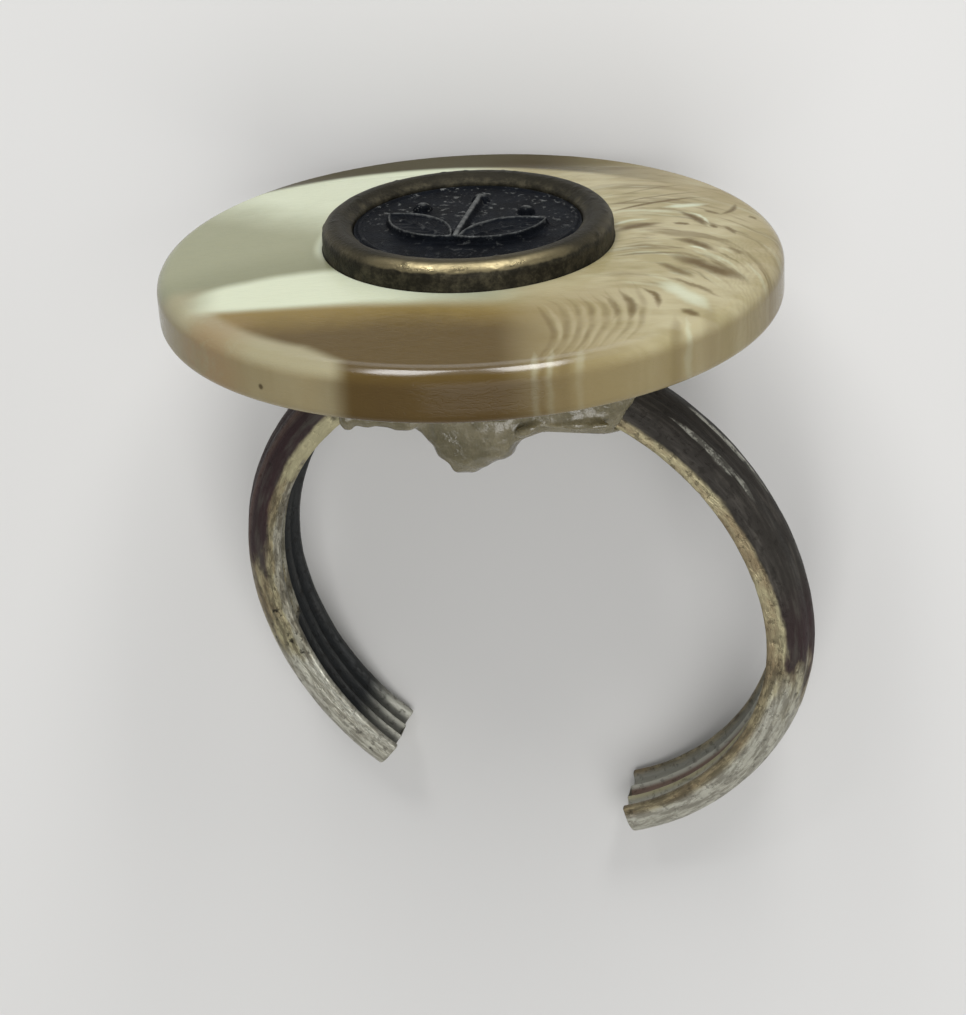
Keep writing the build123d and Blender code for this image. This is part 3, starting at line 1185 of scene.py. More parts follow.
        back = graph.math("MAXIMUM", back * 0.55, graph.step(x, 10.2, 12.4) * 0.5)
        return graph.blend(back, tint, self.tan)

    def _lens(self, graph: Graph, tint: Field, x: Field, y: Field, point: Field) -> Field:
        """The tan lens in front of the inset, pointed at its left end.

        Args:
            graph: the material's graph.
            tint: the tint below.
            x: across the button.
            y: back over the button.
            point: the surface point.

        Returns:
            The new tint.
        """
        depth = self._foot_line(x) - y + graph.step(x, -8.5, -3.0) * 0.32
        from_tip = x - self.lens_tip[0], graph.math("MAXIMUM", y, self.lens_foot) - self.lens_tip[1]
        along = from_tip[0] * self.lens_way[0] + from_tip[1] * self.lens_way[1]
        bulge = graph.math("MAXIMUM", along * (self.lens_length - along) * self.lens_bulge, 0.0)
        inside = from_tip[1] * self.lens_way[0] - from_tip[0] * self.lens_way[1] + bulge
        blur = graph.step(x, -9.0, 2.0, 0.35, 0.95)
        mask = graph.step(depth / blur, -0.5, 1.5) * graph.step(inside, -0.3, 0.35)
        mask = mask * graph.step(x, 5.4, 0.6)
        cloud = graph.noise(point, 0.7, 4.0, 12.0) - 0.5
        deep = graph.step(depth + cloud * 1.2, 0.2, 3.0)
        return graph.blend(mask, tint, graph.blend(deep, self.ochre, self.brown))

    def _comb(self, graph: Graph, tint: Field, x: Field, y: Field) -> Field:
        """The comb lines that curve down to the front edge and on down the side.

        Args:
            graph: the material's graph.
            tint: the tint below.
            x: across the button.
            y: back over the button.

        Returns:
            The new tint.
        """
        ground = graph.step(x, 0.6, 2.6) * graph.step(x, 7.6, 4.2) * graph.step(y - x * 0.28, -6.0, -8.4)
        tint = graph.blend(ground * 0.55, tint, self.tan)
        flat = graph.joined(x, y, 0.0)
        sway = (graph.noise(flat, 0.45, 1.0, 14.0) - 0.5) * 0.7
        patchy = graph.step(graph.noise(flat, 0.9, 2.0, 15.0), 0.3, 0.62, 0.3, 1.0)
        swayed = graph.joined(x + sway, y + sway, 0.0)
        pair = ((0.0, 0.15, 0.36, self.stroke), (self.comb_spacing / 2, 0.12, 0.34, self.cream))
        for line in range(self.comb_count):
            across = self.comb_spacing * line
            top_x = self.comb_start[0] + self.comb_spread[0] * across
            top_y = self.comb_start[1] + self.comb_climb[0] * line
            foot_x = self.comb_end[0] + self.comb_spread[1] * across
            foot_y = self.comb_end[1] + self.comb_climb[1] * line
            sideways = self.comb_bow - self.comb_straightening * line
            for aside, width, share, over in pair:
                strength = share if line % self.comb_beat else share * self.comb_stress
                streak = Streak((top_x + aside, top_y), (foot_x + aside, foot_y), sideways, width, strength)
                tint = graph.blend(self._drawn(graph, swayed, streak) * patchy * streak.strength, tint, over)
        return tint

    def _rear_strip(self, graph: Graph, tint: Field, x: Field, y: Field) -> Field:
        """The taupe layer that shows along the back edge.

        Args:
            graph: the material's graph.
            tint: the tint below.
            x: across the button.
            y: back over the button.

        Returns:
            The new tint.
        """
        aside = x - self.strip_middle[0]
        beyond = y - self.strip_middle[1] + aside * aside * self.strip_bow
        mask = graph.step(beyond, -0.2, 0.4) * graph.step(x, 10.5, 3.0, 0.0, 0.95)
        return graph.blend(mask, tint, self.taupe)

    def _side(self, graph: Graph, tint: Field, point: Field) -> Field:
        """The browner, duller look of the button's side.

        Args:
            graph: the material's graph.
            tint: the tint below.
            point: the surface point.

        Returns:
            The new tint.
        """
        x, y, z = graph.parts(point)
        below = graph.step(z, self.side_start, -0.6)
        cloud = graph.noise(graph.joined(x, y, z * 0.3), 0.9, 3.0, 17.0)
        middle = graph.step(x, -6.3, -4.4) * graph.step(x, 4.2, 1.2)
        tone = graph.blend(middle, self.side_light, self.side_dark)
        return graph.blend(below * (cloud * 0.6 + 0.3), tint, tone)

    def _marks(self, graph: Graph, tint: Field, point: Field) -> Field:
        """The pale line beside the inset, the blush on the left side and one dark speck.

        Args:
            graph: the material's graph.
            tint: the tint below.
            point: the surface point.

        Returns:
            The new tint.
        """
        x, y, _ = graph.parts(point)
        radius = graph.length(graph.joined(x, y, 0.0))
        halo = graph.step(radius, self.inset_radius + 0.5, self.inset_radius + 0.1)
        halo = halo * graph.step(x, -4.0, -5.0) * graph.step(y, -2.0, 0.0)
        tint = graph.blend(halo * 0.7, tint, self.white)
        blotch = self.blotches(graph, point, 0.9, 0.6, 0.25, 4.0)
        blush = graph.length(graph.vector_math("SUBTRACT", point, self.blush_place))
        tint = graph.blend(graph.step(blush, self.blush_reach, 0.6) * blotch * 0.8, tint, self.blush)
        speck = graph.length(graph.vector_math("SUBTRACT", point, self.speck_place))
        return graph.blend(graph.step(speck, self.speck_reach, 0.05) * 0.85, tint, self.speck)


@dataclass(frozen=True)
class DarkBronze(Finish):
    """Old bronze, dark and mottled; the front of its crest's outer shoulder is rubbed to a brassy tone that
    also serves as a painted highlight, and the crest's flat top is darkened as painted shade.
    """

    dark: Tint = (36, 34, 28)
    umber: Tint = (82, 77, 62)
    gold_and_highlight: Tint = (142, 131, 100)
    crest_height: float = 1.5
    foot_height: float = 0.9
    # The brassy band, partly rubbed wear and partly a painted highlight, lies between these shoulder radii
    # and towards the front.
    shoulder: Span = (5.44, 5.74)
    front: Span = (-3.9, -5.1)
    crest_shade: Span = (0.75, 1.0)

    def paint(self, graph: Graph, point: Field, shader: bpy.types.Node) -> None:
        """Paints the bronze.

        Args:
            graph: the material's graph.
            point: the surface point, from the button's middle.
            shader: the shader to feed.
        """
        aside, back, z = graph.parts(point)
        height = (z - self.foot_height) / (self.crest_height - self.foot_height)
        blotch = self.blotches(graph, point, 1.6, 0.45, 0.3, 2.0)
        grime = self.blotches(graph, point, 3.2, 0.4, 0.15, 12.0)
        # Partly rubbed wear, partly painted highlight: the brassy metal is kept to the outer shoulder at the
        # front, where the lights glint.
        outer = graph.step(graph.length(graph.joined(aside, back, 0.0)), *self.shoulder, 0.15, 1.0)
        bare = self.rubbed(graph, point, height, 0.6, 0.12, 0.2, 1.6)
        bare = bare * outer * graph.step(back, *self.front, 0.1, 1.0) * (1.0 - grime * 0.15)
        tint = graph.blend(blotch * 0.7, self.dark, self.umber)
        tint = graph.blend(grime * 0.7, tint, self.dark)
        # Painted shade: the crest's flat top is darkened towards the dark bronze.
        tint = graph.blend(graph.step(height, *self.crest_shade) * 0.8, tint, self.dark)
        tint = graph.blend(bare, tint, self.gold_and_highlight)
        tint = graph.blend(graph.trait(Trait.PIT) * (0.7 - bare * 0.5), tint, self.dark)
        graph.feed(shader.inputs["Base Color"], tint)
        graph.feed(shader.inputs["Metallic"], bare * 0.6 + 0.35)
        graph.feed(shader.inputs["Roughness"], 0.46 - bare * 0.2 + blotch * 0.06)
        shader.inputs["Specular IOR Level"].default_value = 0.05
        grain = graph.noise(point, 7.0, 4.0, 4.0)
        hairlines = self.hairlines(graph, point, 5.0, 6.0)
        self.bump(graph, shader, grain * (0.8 - bare * 0.72) + hairlines * 0.1 + blotch * 0.1, 0.03)


@dataclass(frozen=True)
class BlackenedPlate(Finish):
    """Blue-black satin metal, lighter where its relief has been rubbed, with light specks towards the back as
    painted glints.
    """

    ground: Tint = (9, 11, 15)
    haze: Tint = (19, 22, 27)
    rubbed_grey: Tint = (118, 120, 118)
    glint_reach: Span = (-2.0, 3.0)

    def paint(self, graph: Graph, point: Field, shader: bpy.types.Node) -> None:
        """Paints the plate.

        Args:
            graph: the material's graph.
            point: the surface point, from the button's middle.
            shader: the shader to feed.
        """
        bare = self.rubbed(graph, point, graph.trait(Trait.RELIEF), 0.95, 0.2, 0.3, 3.0)
        # Painted glints: sparse light specks, stronger towards the back.
        flecks = self.blotches(graph, point, 3.4, 0.3, 0.06, 8.0)
        _, back, _ = graph.parts(point)
        bare = graph.math("MAXIMUM", bare * 0.7, flecks * graph.step(back, *self.glint_reach, 0.15, 0.65))
        tint = graph.blend(self.blotches(graph, point, 1.2, 0.5, 0.35, 6.0), self.ground, self.haze)
        tint = graph.blend(bare, tint, self.rubbed_grey)
        graph.feed(shader.inputs["Base Color"], tint)
        graph.feed(shader.inputs["Metallic"], bare * 0.7 + 0.1)
        graph.feed(shader.inputs["Roughness"], 0.42 - bare * 0.12)
        shader.inputs["Specular IOR Level"].default_value = 0.02
        hairlines = self.hairlines(graph, point, 6.0, 5.0, 3.0)
        self.bump(graph, shader, graph.noise(point, 14.0, 4.0, 5.0) * 0.8 + hairlines * 0.2, 0.03)


@dataclass(frozen=True)
class TarnishedSilver(Finish):
    """Old plated metal: dark tarnish over the top of the hoop, cream and silver where it is rubbed; the
    silver crests over the top also serve as a painted highlight, and the grooved inside is painted dark as
    painted shade with painted light at its ends.

    The lengths are millimetres along the hoop, from its right end over the top to its left end.
    """

    tarnish: Tint = (53, 50, 46)
    worn: Tint = (80, 76, 70)
    plum: Tint = (58, 42, 44)
    russet: Tint = (100, 76, 64)
    silver: Tint = (192, 191, 178)
    straw: Tint = (182, 175, 140)
    tan: Tint = (136, 121, 94)
    grime: Tint = (84, 77, 62)
    gunmetal_and_shade: Tint = (42, 44, 45)
    ridge_grey: Tint = (64, 64, 62)
    lip_grey: Tint = (160, 158, 146)
    soot: Tint = (36, 33, 29)
    rust: Tint = (112, 80, 68)
    edge_height: float = 0.6
    side_reed: float = 1.09
    lip_offset: float = 1.42
    tarnished: Span = (9.3, 45.2)
    low_edge: Span = (16.0, 36.0)
    right_turn: Span = (17.0, 11.0)
    left_turn: Span = (33.0, 37.0)
    wide_lip: Span = (34.0, 48.0)
    rubbed_and_lit_top: Span = (16.5, 22.8)
    straw_patch: Span = (35.5, 39.3)
    worst_pits: Span = (45.9, 48.8)
    bright_left: Span = (47.5, 49.5)
    bright_right: Span = (10.5, 8.0)
    pale_lip_start: float = 38.5
    tan_lip_end: float = 14.0
    length: float = 54.26

    @staticmethod
    def _stretch(graph: Graph, along: Field, span: Span, soft: float) -> Field:
        """A soft mask for one stretch of the hoop.

        Args:
            graph: the material's graph.
            along: the place along the hoop.
            span: where the stretch starts and ends.
            soft: how long each of its soft ends is.

        Returns:
            The mask.
        """
        start, end = span
        return graph.step(along, start, start + soft) * graph.step(along, end, end - soft)

    def paint(self, graph: Graph, point: Field, shader: bpy.types.Node) -> None:
        """Paints the hoop.

        Args:
            graph: the material's graph.
            point: the surface point, in the worn frame.
            shader: the shader to feed.
        """
        outwards, backwards, _ = graph.parts(graph.trait(Trait.SECTION, "Vector"))
        along = graph.trait(Trait.ALONG)
        strip = graph.joined(along * 0.4, outwards, backwards)
        ragged = graph.noise(strip, 1.6, 5.0, 11.0) - 0.5
        torn = along + ragged * 7.0
        blotch = self.blotches(graph, strip, 1.1, 0.5, 0.3, 1.0)
        spots = self.blotches(graph, graph.joined(along, outwards, backwards), 4.2, 0.32, 0.12, 9.0)

        bound = self.edge_height - self._stretch(graph, along, self.low_edge, 5.0) * 0.13
        bound = bound + graph.step(along, *self.right_turn) * 0.2
        dark = graph.step(outwards + ragged * 0.5, bound - 0.1, bound + 0.12)
        dark = dark * self._stretch(graph, torn, self.tarnished, 1.6)
        left = graph.step(along, *self.left_turn)
        lip = self.lip_offset - left * 0.3 - self._stretch(graph, along, self.wide_lip, 2.5)
        inside = graph.step(backwards + lip, 0.0, 0.2)
        inside = inside * graph.step(backwards - left * 0.35, self.lip_offset, self.lip_offset - 0.26)
        groove = graph.step(outwards, 0.5, 0.34) * inside

        tint = self._side(graph, along, torn, outwards, blotch, spots)
        shell, bare = self._shell(graph, along, outwards, backwards, blotch)
        tint = graph.blend(dark, tint, shell)
        tint = graph.blend(groove, tint, self._bore(graph, along, outwards, backwards, blotch, spots))
        tint = graph.blend(graph.trait(Trait.PIT) * 0.6, tint, self.soot)
        # The cut end faces are silver, which is also painted light on end faces that lie in shade.
        cut_end_and_light = graph.step(graph.trait(Trait.TO_END), 0.03, 0.01)
        tint = graph.blend(cut_end_and_light * 0.7, tint, self.silver)
        graph.feed(shader.inputs["Base Color"], tint)
        dull = dark * (1.0 - bare)
        graph.feed(shader.inputs["Metallic"], 0.55 - groove * 0.3 - dull * 0.3 - cut_end_and_light * 0.3)
        graph.feed(shader.inputs["Roughness"], 0.36 + spots * 0.14 + dull * 0.18)
        shader.inputs["Specular IOR Level"].default_value = 0.1
        grain = graph.noise(strip, 9.0, 4.0, 6.0)
        hairlines = self.hairlines(graph, strip, 7.0, 8.0, 5.0)
        self.bump(graph, shader, grain * 0.4 + hairlines * 0.15 + (1.0 - spots) * 0.45, 0.04)

    def _side(
        self, graph: Graph, along: Field, torn: Field, outwards: Field, blotch: Field, spots: Field
    ) -> Field:
        """The flat sides and the rubbed ends: cream, tan, pitted grey and bright silver.

        Args:
            graph: the material's graph.
            along: place along the hoop.
            torn: the same with ragged ends.
            outwards: height above its inside.
            blotch: the tarnish blotches.
            spots: the dark spots.

        Returns:
            The tint.
        """
        tint = graph.blend(blotch, self.straw, self.tan)
        inner = graph.step(outwards + (blotch - 0.5) * 0.3, 0.36, 0.16)
        left_lip = inner * self._stretch(graph, torn, (self.pale_lip_start, self.length + 2.0), 1.5)
        right_lip = inner * self._stretch(graph, torn, (-2.0, self.tan_lip_end), 2.0)
        tint = graph.blend(left_lip * 0.8, tint, self.lip_grey)
        tint = graph.blend(right_lip * 0.55, tint, self.tan)
        bright = graph.step(torn, *self.bright_right) * graph.step(outwards, 0.25, 0.6)
        bright = graph.step(torn, *self.bright_left) + bright
        tint = graph.blend(bright * 0.85, tint, self.silver)
        grime = self.blotches(graph, graph.joined(along * 0.55, outwards * 2.6, 0.0), 1.7, 0.52, 0.18, 13.0)
        upper = self._stretch(graph, along, (self.right_turn[1], self.straw_patch[1] + 0.5), 1.5)
        tint = graph.blend(grime * (0.75 - upper * 0.5) * (1.0 - bright * 0.25), tint, self.grime)
        patch = self._stretch(graph, torn, self.straw_patch, 0.8)
        tint = graph.blend(patch * 0.8, tint, self.straw)
        worst = self._stretch(graph, torn, self.worst_pits, 0.8) * 0.5
        return graph.blend(spots * ((1.0 - patch) * 0.4 + worst), tint, self.soot)

    def _shell(
        self, graph: Graph, along: Field, outwards: Field, backwards: Field, blotch: Field
    ) -> Tuple[Field, Field]:
        """The tarnished outside and the mask of its rubbed crests, which over the top of the hoop also
        carries a painted highlight.

        Args:
            graph: the material's graph.
            along: place along the hoop.
            outwards: height above its inside.
            backwards: place across it.
            blotch: the tarnish blotches.

        Returns:
            The tint and the mask.
        """
        crown = graph.step(abs(backwards), 0.34, 0.0)
        reed = graph.step(abs(abs(backwards) - self.side_reed), 0.3, 0.0)
        crests = graph.math("MAXIMUM", crown, reed)
        streaky = graph.joined(along * 0.22, outwards, backwards * 1.8)
        # Painted highlight as well as wear: over this stretch of the top the crests turn silver more
        # strongly.
        top = self._stretch(graph, along, self.rubbed_and_lit_top, 2.0)
        flecks = self.blotches(graph, graph.joined(along, outwards, backwards), 2.2, 0.5, 0.12, 17.0)
        bare = self.rubbed(graph, streaky, crests * 0.5 + top * 0.5, 0.92, 0.14, 0.9, 2.6)
        bare = bare * (1.0 - flecks * 0.8)
        purple = graph.step(along, 14.5, 12.0) + graph.step(along, 31.0, 36.0)
        tint = graph.blend(purple * (blotch * 0.4 + 0.5), self.tarnish, self.plum)
        worn = graph.noise(streaky, 3.0, 4.0, 19.0)
        tint = graph.blend(graph.step(worn, 0.45, 0.7) * 0.7, tint, self.worn)
        tint = graph.blend(crests * graph.step(along, *self.left_turn) * 0.5, tint, self.russet)
        return graph.blend(bare * 0.75, tint, self.silver), bare

    def _bore(
        self, graph: Graph, along: Field, outwards: Field, backwards: Field, blotch: Field, spots: Field
    ) -> Field:
        """The grooved inside: dark grey as painted shade, lightened with silver at the right end as painted
        light, with a tan ridge and a rusty groove there, and silver on the ridges at the left end as a
        painted highlight.

        Args:
            graph: the material's graph.
            along: place along the hoop.
            outwards: height above its inside.
            backwards: place across it.
            blotch: the tarnish blotches.
            spots: the dark spots.

        Returns:
            The tint.
        """
        # Painted light: near the right end the inside is lightened with silver where it lies in shade, and
        # the near ridge is tan.
        right_end = graph.step(along, 14.0, 9.0)
        ridge = graph.step(outwards, 0.34, 0.16)
        near = graph.step(backwards, 0.1, -0.15)
        # Painted shade: the inside is given a dark grey ground, with slightly lighter ridges.
        tint = graph.blend(ridge * (blotch * 0.4 + 0.3), self.gunmetal_and_shade, self.ridge_grey)
        tint = graph.blend(right_end * graph.step(backwards, 1.5, 0.4, 0.45, 0.9), tint, self.silver)
        tint = graph.blend(right_end * ridge * near * 0.85, tint, self.straw)
        middle = graph.step(abs(backwards), 0.4, 0.22) * graph.step(along, 7.5, 5.5)
        tint = graph.blend(middle * 0.8, tint, self.rust)
        # Painted highlight: silver on the inside's ridges near the left end.
        end_ridge_highlight = graph.step(along, self.length - 2.6, self.length - 0.4) * (ridge * 0.7 + 0.3)
        tint = graph.blend(end_ridge_highlight * 0.8, tint, self.silver)
        return graph.blend(spots * 0.35, tint, self.soot)


@dataclass(frozen=True)
class HardenedGlue(Finish):
    """Clear glue gone grey and hard."""

    grey: Tint = (93, 87, 65)
    milky: Tint = (120, 113, 90)

    def paint(self, graph: Graph, point: Field, shader: bpy.types.Node) -> None:
        """Paints the glue.

        Args:
            graph: the material's graph.
            point: the surface point, in the worn frame.
            shader: the shader to feed.
        """
        blotch = self.blotches(graph, point, 0.8, 0.5, 0.35, 3.0)
        graph.feed(shader.inputs["Base Color"], graph.blend(blotch, self.grey, self.milky))
        graph.feed(shader.inputs["Roughness"], blotch * 0.16 + 0.16)
        shader.inputs["Coat Weight"].default_value = 0.2
        shader.inputs["Coat Roughness"].default_value = 0.08
        shader.inputs["Subsurface Weight"].default_value = 0.4
        shader.inputs["Subsurface Radius"].default_value = (1.0, 0.9, 0.7)
        shader.inputs["Subsurface Scale"].default_value = 0.9 * MILLIMETRE
        self.bump(graph, shader, graph.noise(point, 2.4, 4.0, 2.0), 0.09)


@dataclass(frozen=True)
class PaleFloor(Finish):
    """A plain pale floor."""

    pale: Tint = (200, 199, 196)
    paler: Tint = (204, 203, 201)

    def paint(self, graph: Graph, point: Field, shader: bpy.types.Node) -> None:
        """Paints the floor.

        Args:
            graph: the material's graph.
            point: the surface point.
            shader: the shader to feed.
        """
        cloud = graph.noise(point, 0.02, 2.0, 1.0)
        graph.feed(shader.inputs["Base Color"], graph.blend(cloud, self.pale, self.paler))
        shader.inputs["Roughness"].default_value = 0.8


# The pieces


@dataclass(frozen=True)
class Button:
    """The round plastic button, drawn from the middle of its face's edge.

    Attributes:
        frame: the drawing frame, z through the button.
    """

    frame: Placement
    diameter: float = 25.4
    edge_height: float = 2.08
    edge_radius: float = 0.42
    brow_radius: float = 0.7
    dome_height: float = 0.6
    recess_radius: float = 5.94
    recess_depth: float = 0.35
    turning_radius: float = 1.0
    sides: int = 288
    slope_reach: float = 0.1
    round_step: float = 0.06
    recess_step: float = 0.12
    wall_step: float = 0.2
    face_step: float = 0.3
    back_step: float = 0.6
    seat_step: float = 0.8

    @property
    def radius(self) -> float:
        """Half the diameter."""
        return self.diameter / 2

    def face_height(self, from_middle: float) -> float:
        """Height of the domed face above its edge."""
        return float(rise(self.radius, self.dome_height, from_middle))

    def profile(self) -> np.ndarray:
        """Half the button's section: distance from the middle, and height.

        Returns:
            The points, from the middle of the back round the edge to the middle of the recess.
        """
        corner = self.radius - self.edge_radius
        low_edge = self.edge_radius - self.edge_height
        middle = self.radius - self.brow_radius
        fall = self.face_height(middle - self.slope_reach) - self.face_height(middle)
        lean = math.atan(fall / self.slope_reach)
        top = middle + self.brow_radius * math.sin(lean)
        brow = (top, self.face_height(top))
        shoulder = brow[1] - self.brow_radius * math.cos(lean)
        halfway = (top + self.recess_radius) / 2
        lip = (self.recess_radius, self.face_height(self.recess_radius))
        seat = lip[1] - self.recess_depth
        return np.vstack((
            straight((0.0, -self.edge_height), (corner, -self.edge_height), self.back_step),
            arc((corner, low_edge), self.edge_radius, -90, 0, self.round_step),
            straight((self.radius, low_edge), (self.radius, shoulder), self.wall_step),
            arc((middle, shoulder), self.brow_radius, 0, 89 - math.degrees(lean), self.round_step),
            bow(brow, (halfway, self.face_height(halfway)), lip, self.face_step),
            straight(lip, (self.recess_radius, seat), self.recess_step),
            straight((self.recess_radius, seat), (0.0, seat), self.seat_step),
            np.array([[0.0, seat]]),
        ))

    def build(self, sweeps: SweepTree, finish: bpy.types.Material) -> bpy.types.Object:
        """Turns the button's profile about its axis.

        Args:
            sweeps: the sweep tree.
            finish: the plastic.

        Returns:
            The button.
        """
        turn_step = 2 * math.pi * self.turning_radius / self.sides
        path = outline_object("button_turn", arc((0, 0), self.turning_radius, 0, 360, turn_step), True)
        profile = self.profile()
        section = np.column_stack((profile[:, 0] - self.turning_radius, -profile[:, 1]))
        outline = outline_object("button_profile", section, False)
        sizes = {"Unevenness": 0.006, "Unevenness scale": 0.35}
        return sweeps.sweep("swirled_button", path, outline, finish, self.frame, sizes)


@dataclass(frozen=True)
class Rim:
    """The bronze rim let into the button's face, with a rounded crest."""

    button: Button
    diameter: float = 11.8
    height: float = 1.12
    shoulder_radius: float = 0.58
    crest_width: float = 0.2
    wall_width: float = 1.25
    ledge_width: float = 1.1
    ledge_height: float = 0.2
    seat_gap: float = 0.04
    plate_depth: float = 0.45
    plate_crown_height: float = 0.12
    wear_reach: float = 0.07
    sides: int = 320
    step: float = 0.06

    @property
    def radius(self) -> float:
        """Half the diameter."""
        return self.diameter / 2

    @property
    def opening_radius(self) -> float:
        """Radius of the opening that holds the plate."""
        return self.radius - self.wall_width

    @property
    def foot(self) -> float:
        """Height of the button's face at the rim."""
        return self.button.face_height(self.radius)

    @property
    def bottom(self) -> float:
        """Height of the rim's underside."""
        return self.foot - self.button.recess_depth + self.seat_gap

    @property
    def crest(self) -> float:
        """Height of the rim's crest."""
        return self.foot + self.height

    @property
    def plate_edge(self) -> float:
        """Height of the plate's edge."""
        return self.crest - self.plate_depth

    def profile(self) -> np.ndarray:
        """The rim's closed section: distance from the middle, and height.

        Returns:
            The points, from the inner foot outwards and over the crest.
        """
        shoulder = self.radius - self.shoulder_radius
        low_shoulder = self.crest - self.shoulder_radius
        ledge_top = self.bottom + self.ledge_height
        ledge_radius = self.opening_radius - self.ledge_width
        outer = ((ledge_radius, self.bottom), (self.radius, self.bottom), (self.radius, low_shoulder))
        inner = (
            (shoulder, self.crest),
            (shoulder - self.crest_width, self.crest),
            (self.opening_radius, self.plate_edge + self.plate_crown_height),
            (self.opening_radius, ledge_top),
            (ledge_radius, ledge_top),
            (ledge_radius, self.bottom),
        )
        corners = np.vstack((
            *(straight(start, end, self.step) for start, end in zip(outer, outer[1:])),
            arc((shoulder, low_shoulder), self.shoulder_radius, 0, 90, self.step),
            *(straight(start, end, self.step) for start, end in zip(inner, inner[1:])),
        ))
        return softened(corners, self.wear_reach, self.step)

    def build(self, sweeps: SweepTree, finish: bpy.types.Material) -> bpy.types.Object:
        """Turns the rim about the button's axis.

        Args:
            sweeps: the sweep tree.
            finish: the bronze.

        Returns:
            The rim.
        """
        turn_step = 2 * math.pi * self.opening_radius / self.sides
        path = outline_object("rim_turn", arc((0, 0), self.opening_radius, 0, 360, turn_step), True)
        profile = self.profile()
        section = np.column_stack((profile[:, 0] - self.opening_radius, -profile[:, 1]))
        outline = outline_object("rim_profile", section, True)
        sizes = {
            "Unevenness": 0.022,
            "Unevenness scale": 1.3,
            "Pit depth": 0.025,
            "Pit spacing": 0.5,
            "Pit share": 0.3,
            "Seed": 5.0,
        }
        return sweeps.sweep("bronze_rim", path, outline, finish, self.button.frame, sizes)


